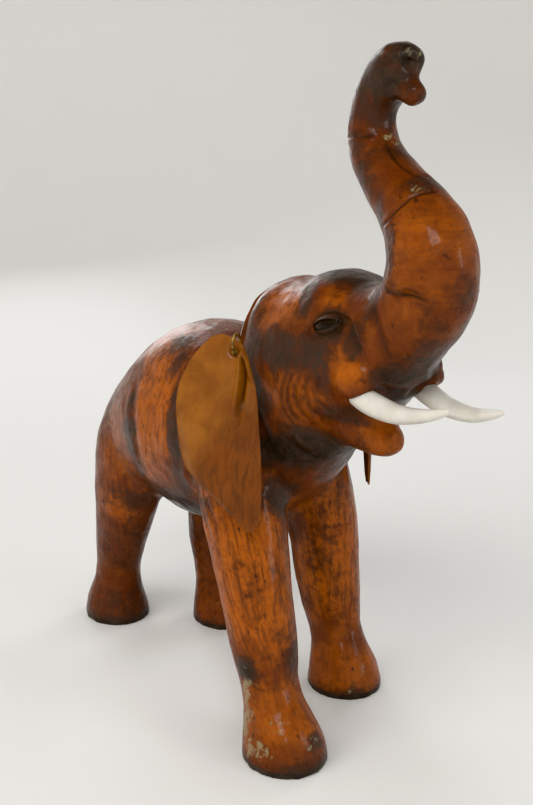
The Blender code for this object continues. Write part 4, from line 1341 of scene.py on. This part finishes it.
def make_camera():
    lens = bpy.data.cameras.new("camera")
    lens.lens = 49.2
    lens.sensor_width = 36.0
    lens.clip_start, lens.clip_end = 0.05, 20.0
    camera = bpy.data.objects.new("camera", lens)
    bpy.context.scene.collection.objects.link(camera)
    camera.location = (0.7945, -0.5359, 0.5020)
    look_at(camera, Vector(camera.location) + Vector((-0.8042, 0.5465, -0.2334)))
    bpy.context.scene.camera = camera


def area_light(name, place, size, power, colour, mirrored_in_gloss=True):
    light = bpy.data.lights.new(name, "AREA")
    light.shape = "RECTANGLE"
    light.size, light.size_y = size
    light.energy = power
    light.color = colour
    item = bpy.data.objects.new(name, light)
    bpy.context.scene.collection.objects.link(item)
    item.location = place
    item.visible_glossy = mirrored_in_gloss
    look_at(item, (0.0, 0.0, 0.30))


def make_stage():
    """A pale floor that curves up into a pale backdrop all round."""
    profile = [(0.0, 0.0), (1.6, 0.0)]
    for angle in np.linspace(0.1, math.pi / 2, 12):
        profile.append((1.6 + 0.8 * math.sin(angle), 0.8 - 0.8 * math.cos(angle)))
    profile.append((2.4, 3.2))
    sides = 96
    verts = [(0.0, 0.0, 0.0)]
    for reach, height in profile[1:]:
        for step in range(sides):
            angle = 2 * math.pi * step / sides
            verts.append((reach * math.cos(angle), reach * math.sin(angle), height))
    faces = [(0, 1 + step, 1 + (step + 1) % sides) for step in range(sides)]
    for ring in range(len(profile) - 2):
        for step in range(sides):
            low, other = 1 + ring * sides + step, 1 + ring * sides + (step + 1) % sides
            faces.append((low, low + sides, other + sides, other))
    n = Nodes("pale_stage", (0.80, 0.79, 0.77), 0.9)
    n.set(Specular_IOR_Level=0.1)
    floor = add_object("floor", mesh_of("floor", verts, faces), n.material)


def make_lights():
    world = bpy.data.worlds.new("studio")
    world.use_nodes = True
    world.node_tree.nodes["Background"].inputs["Color"].default_value = (0.95, 0.97, 1.0, 1.0)
    world.node_tree.nodes["Background"].inputs["Strength"].default_value = 0.16
    bpy.context.scene.world = world
    warm, cool = (1.0, 0.98, 0.95), (0.96, 0.98, 1.0)
    area_light("window", (0.20, -1.85, 1.30), (1.6, 1.4), 24.0, warm, mirrored_in_gloss=False)
    area_light("key", (1.35, -1.15, 1.85), (0.80, 0.80), 15.0, warm)
    area_light("front", (1.90, 0.95, 0.90), (0.6, 0.8), 7.0, cool)
    area_light("rear", (-1.75, 0.45, 0.95), (0.6, 1.2), 6.5, cool)
    area_light("far_side", (-0.6, 1.80, 1.20), (0.8, 0.9), 8.0, cool, mirrored_in_gloss=False)
    area_light("top", (0.0, 0.0, 2.20), (1.0, 1.0), 8.0, cool, mirrored_in_gloss=False)


# ---- build ----
make_camera()
make_lights()
make_stage()
bpy.context.scene.view_settings.view_transform = "Khronos PBR Neutral"

finishes = {
    "leather": leather(),
    "sole": simple("sole_leather", (0.018, 0.013, 0.010), (0.045, 0.032, 0.024), 0.45, 90.0),
    "ear": ear_leather(),
    "ear_edge": simple("cut_edge", (0.16, 0.05, 0.015), (0.30, 0.13, 0.04), 0.55, 400.0),
    "thong": simple("yellow_thong", (0.060, 0.030, 0.012), (0.42, 0.27, 0.08), 0.5, 160.0),
    "tail": simple("tail_leather", (0.10, 0.035, 0.012), (0.26, 0.09, 0.022), 0.4, 160.0),
    "tuft": simple("tuft_leather", (0.030, 0.016, 0.010), (0.10, 0.045, 0.020), 0.5, 200.0),
    "ivory": ivory(),
    "glass": eye_glass(),
    "brass": simple(
        "dull_brass", (0.30, 0.19, 0.07), (0.62, 0.44, 0.17), 0.34, 500.0, bump=0.0001, Metallic=1.0
    ),
    "wood": wood(),
}

for node_name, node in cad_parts.items():
    if "core" in node_name or "peg" in node_name:
        for slot in node.material_slots:
            slot.material = finishes["wood"]

skin = grow_skin()
sculpt(skin)
part_skin(skin, finishes)

for side_name, side in SIDES:
    make_eyeball(f"eye_{side_name}", side, finishes["glass"])
    make_tusk(side_name, finishes["ivory"])
    make_ear(side_name, side, finishes["ear"], finishes["ear_edge"])
    make_tie(side_name, side, finishes["thong"])
make_tail(finishes["tail"])
make_tuft(finishes["tuft"])
make_tack(finishes["brass"])
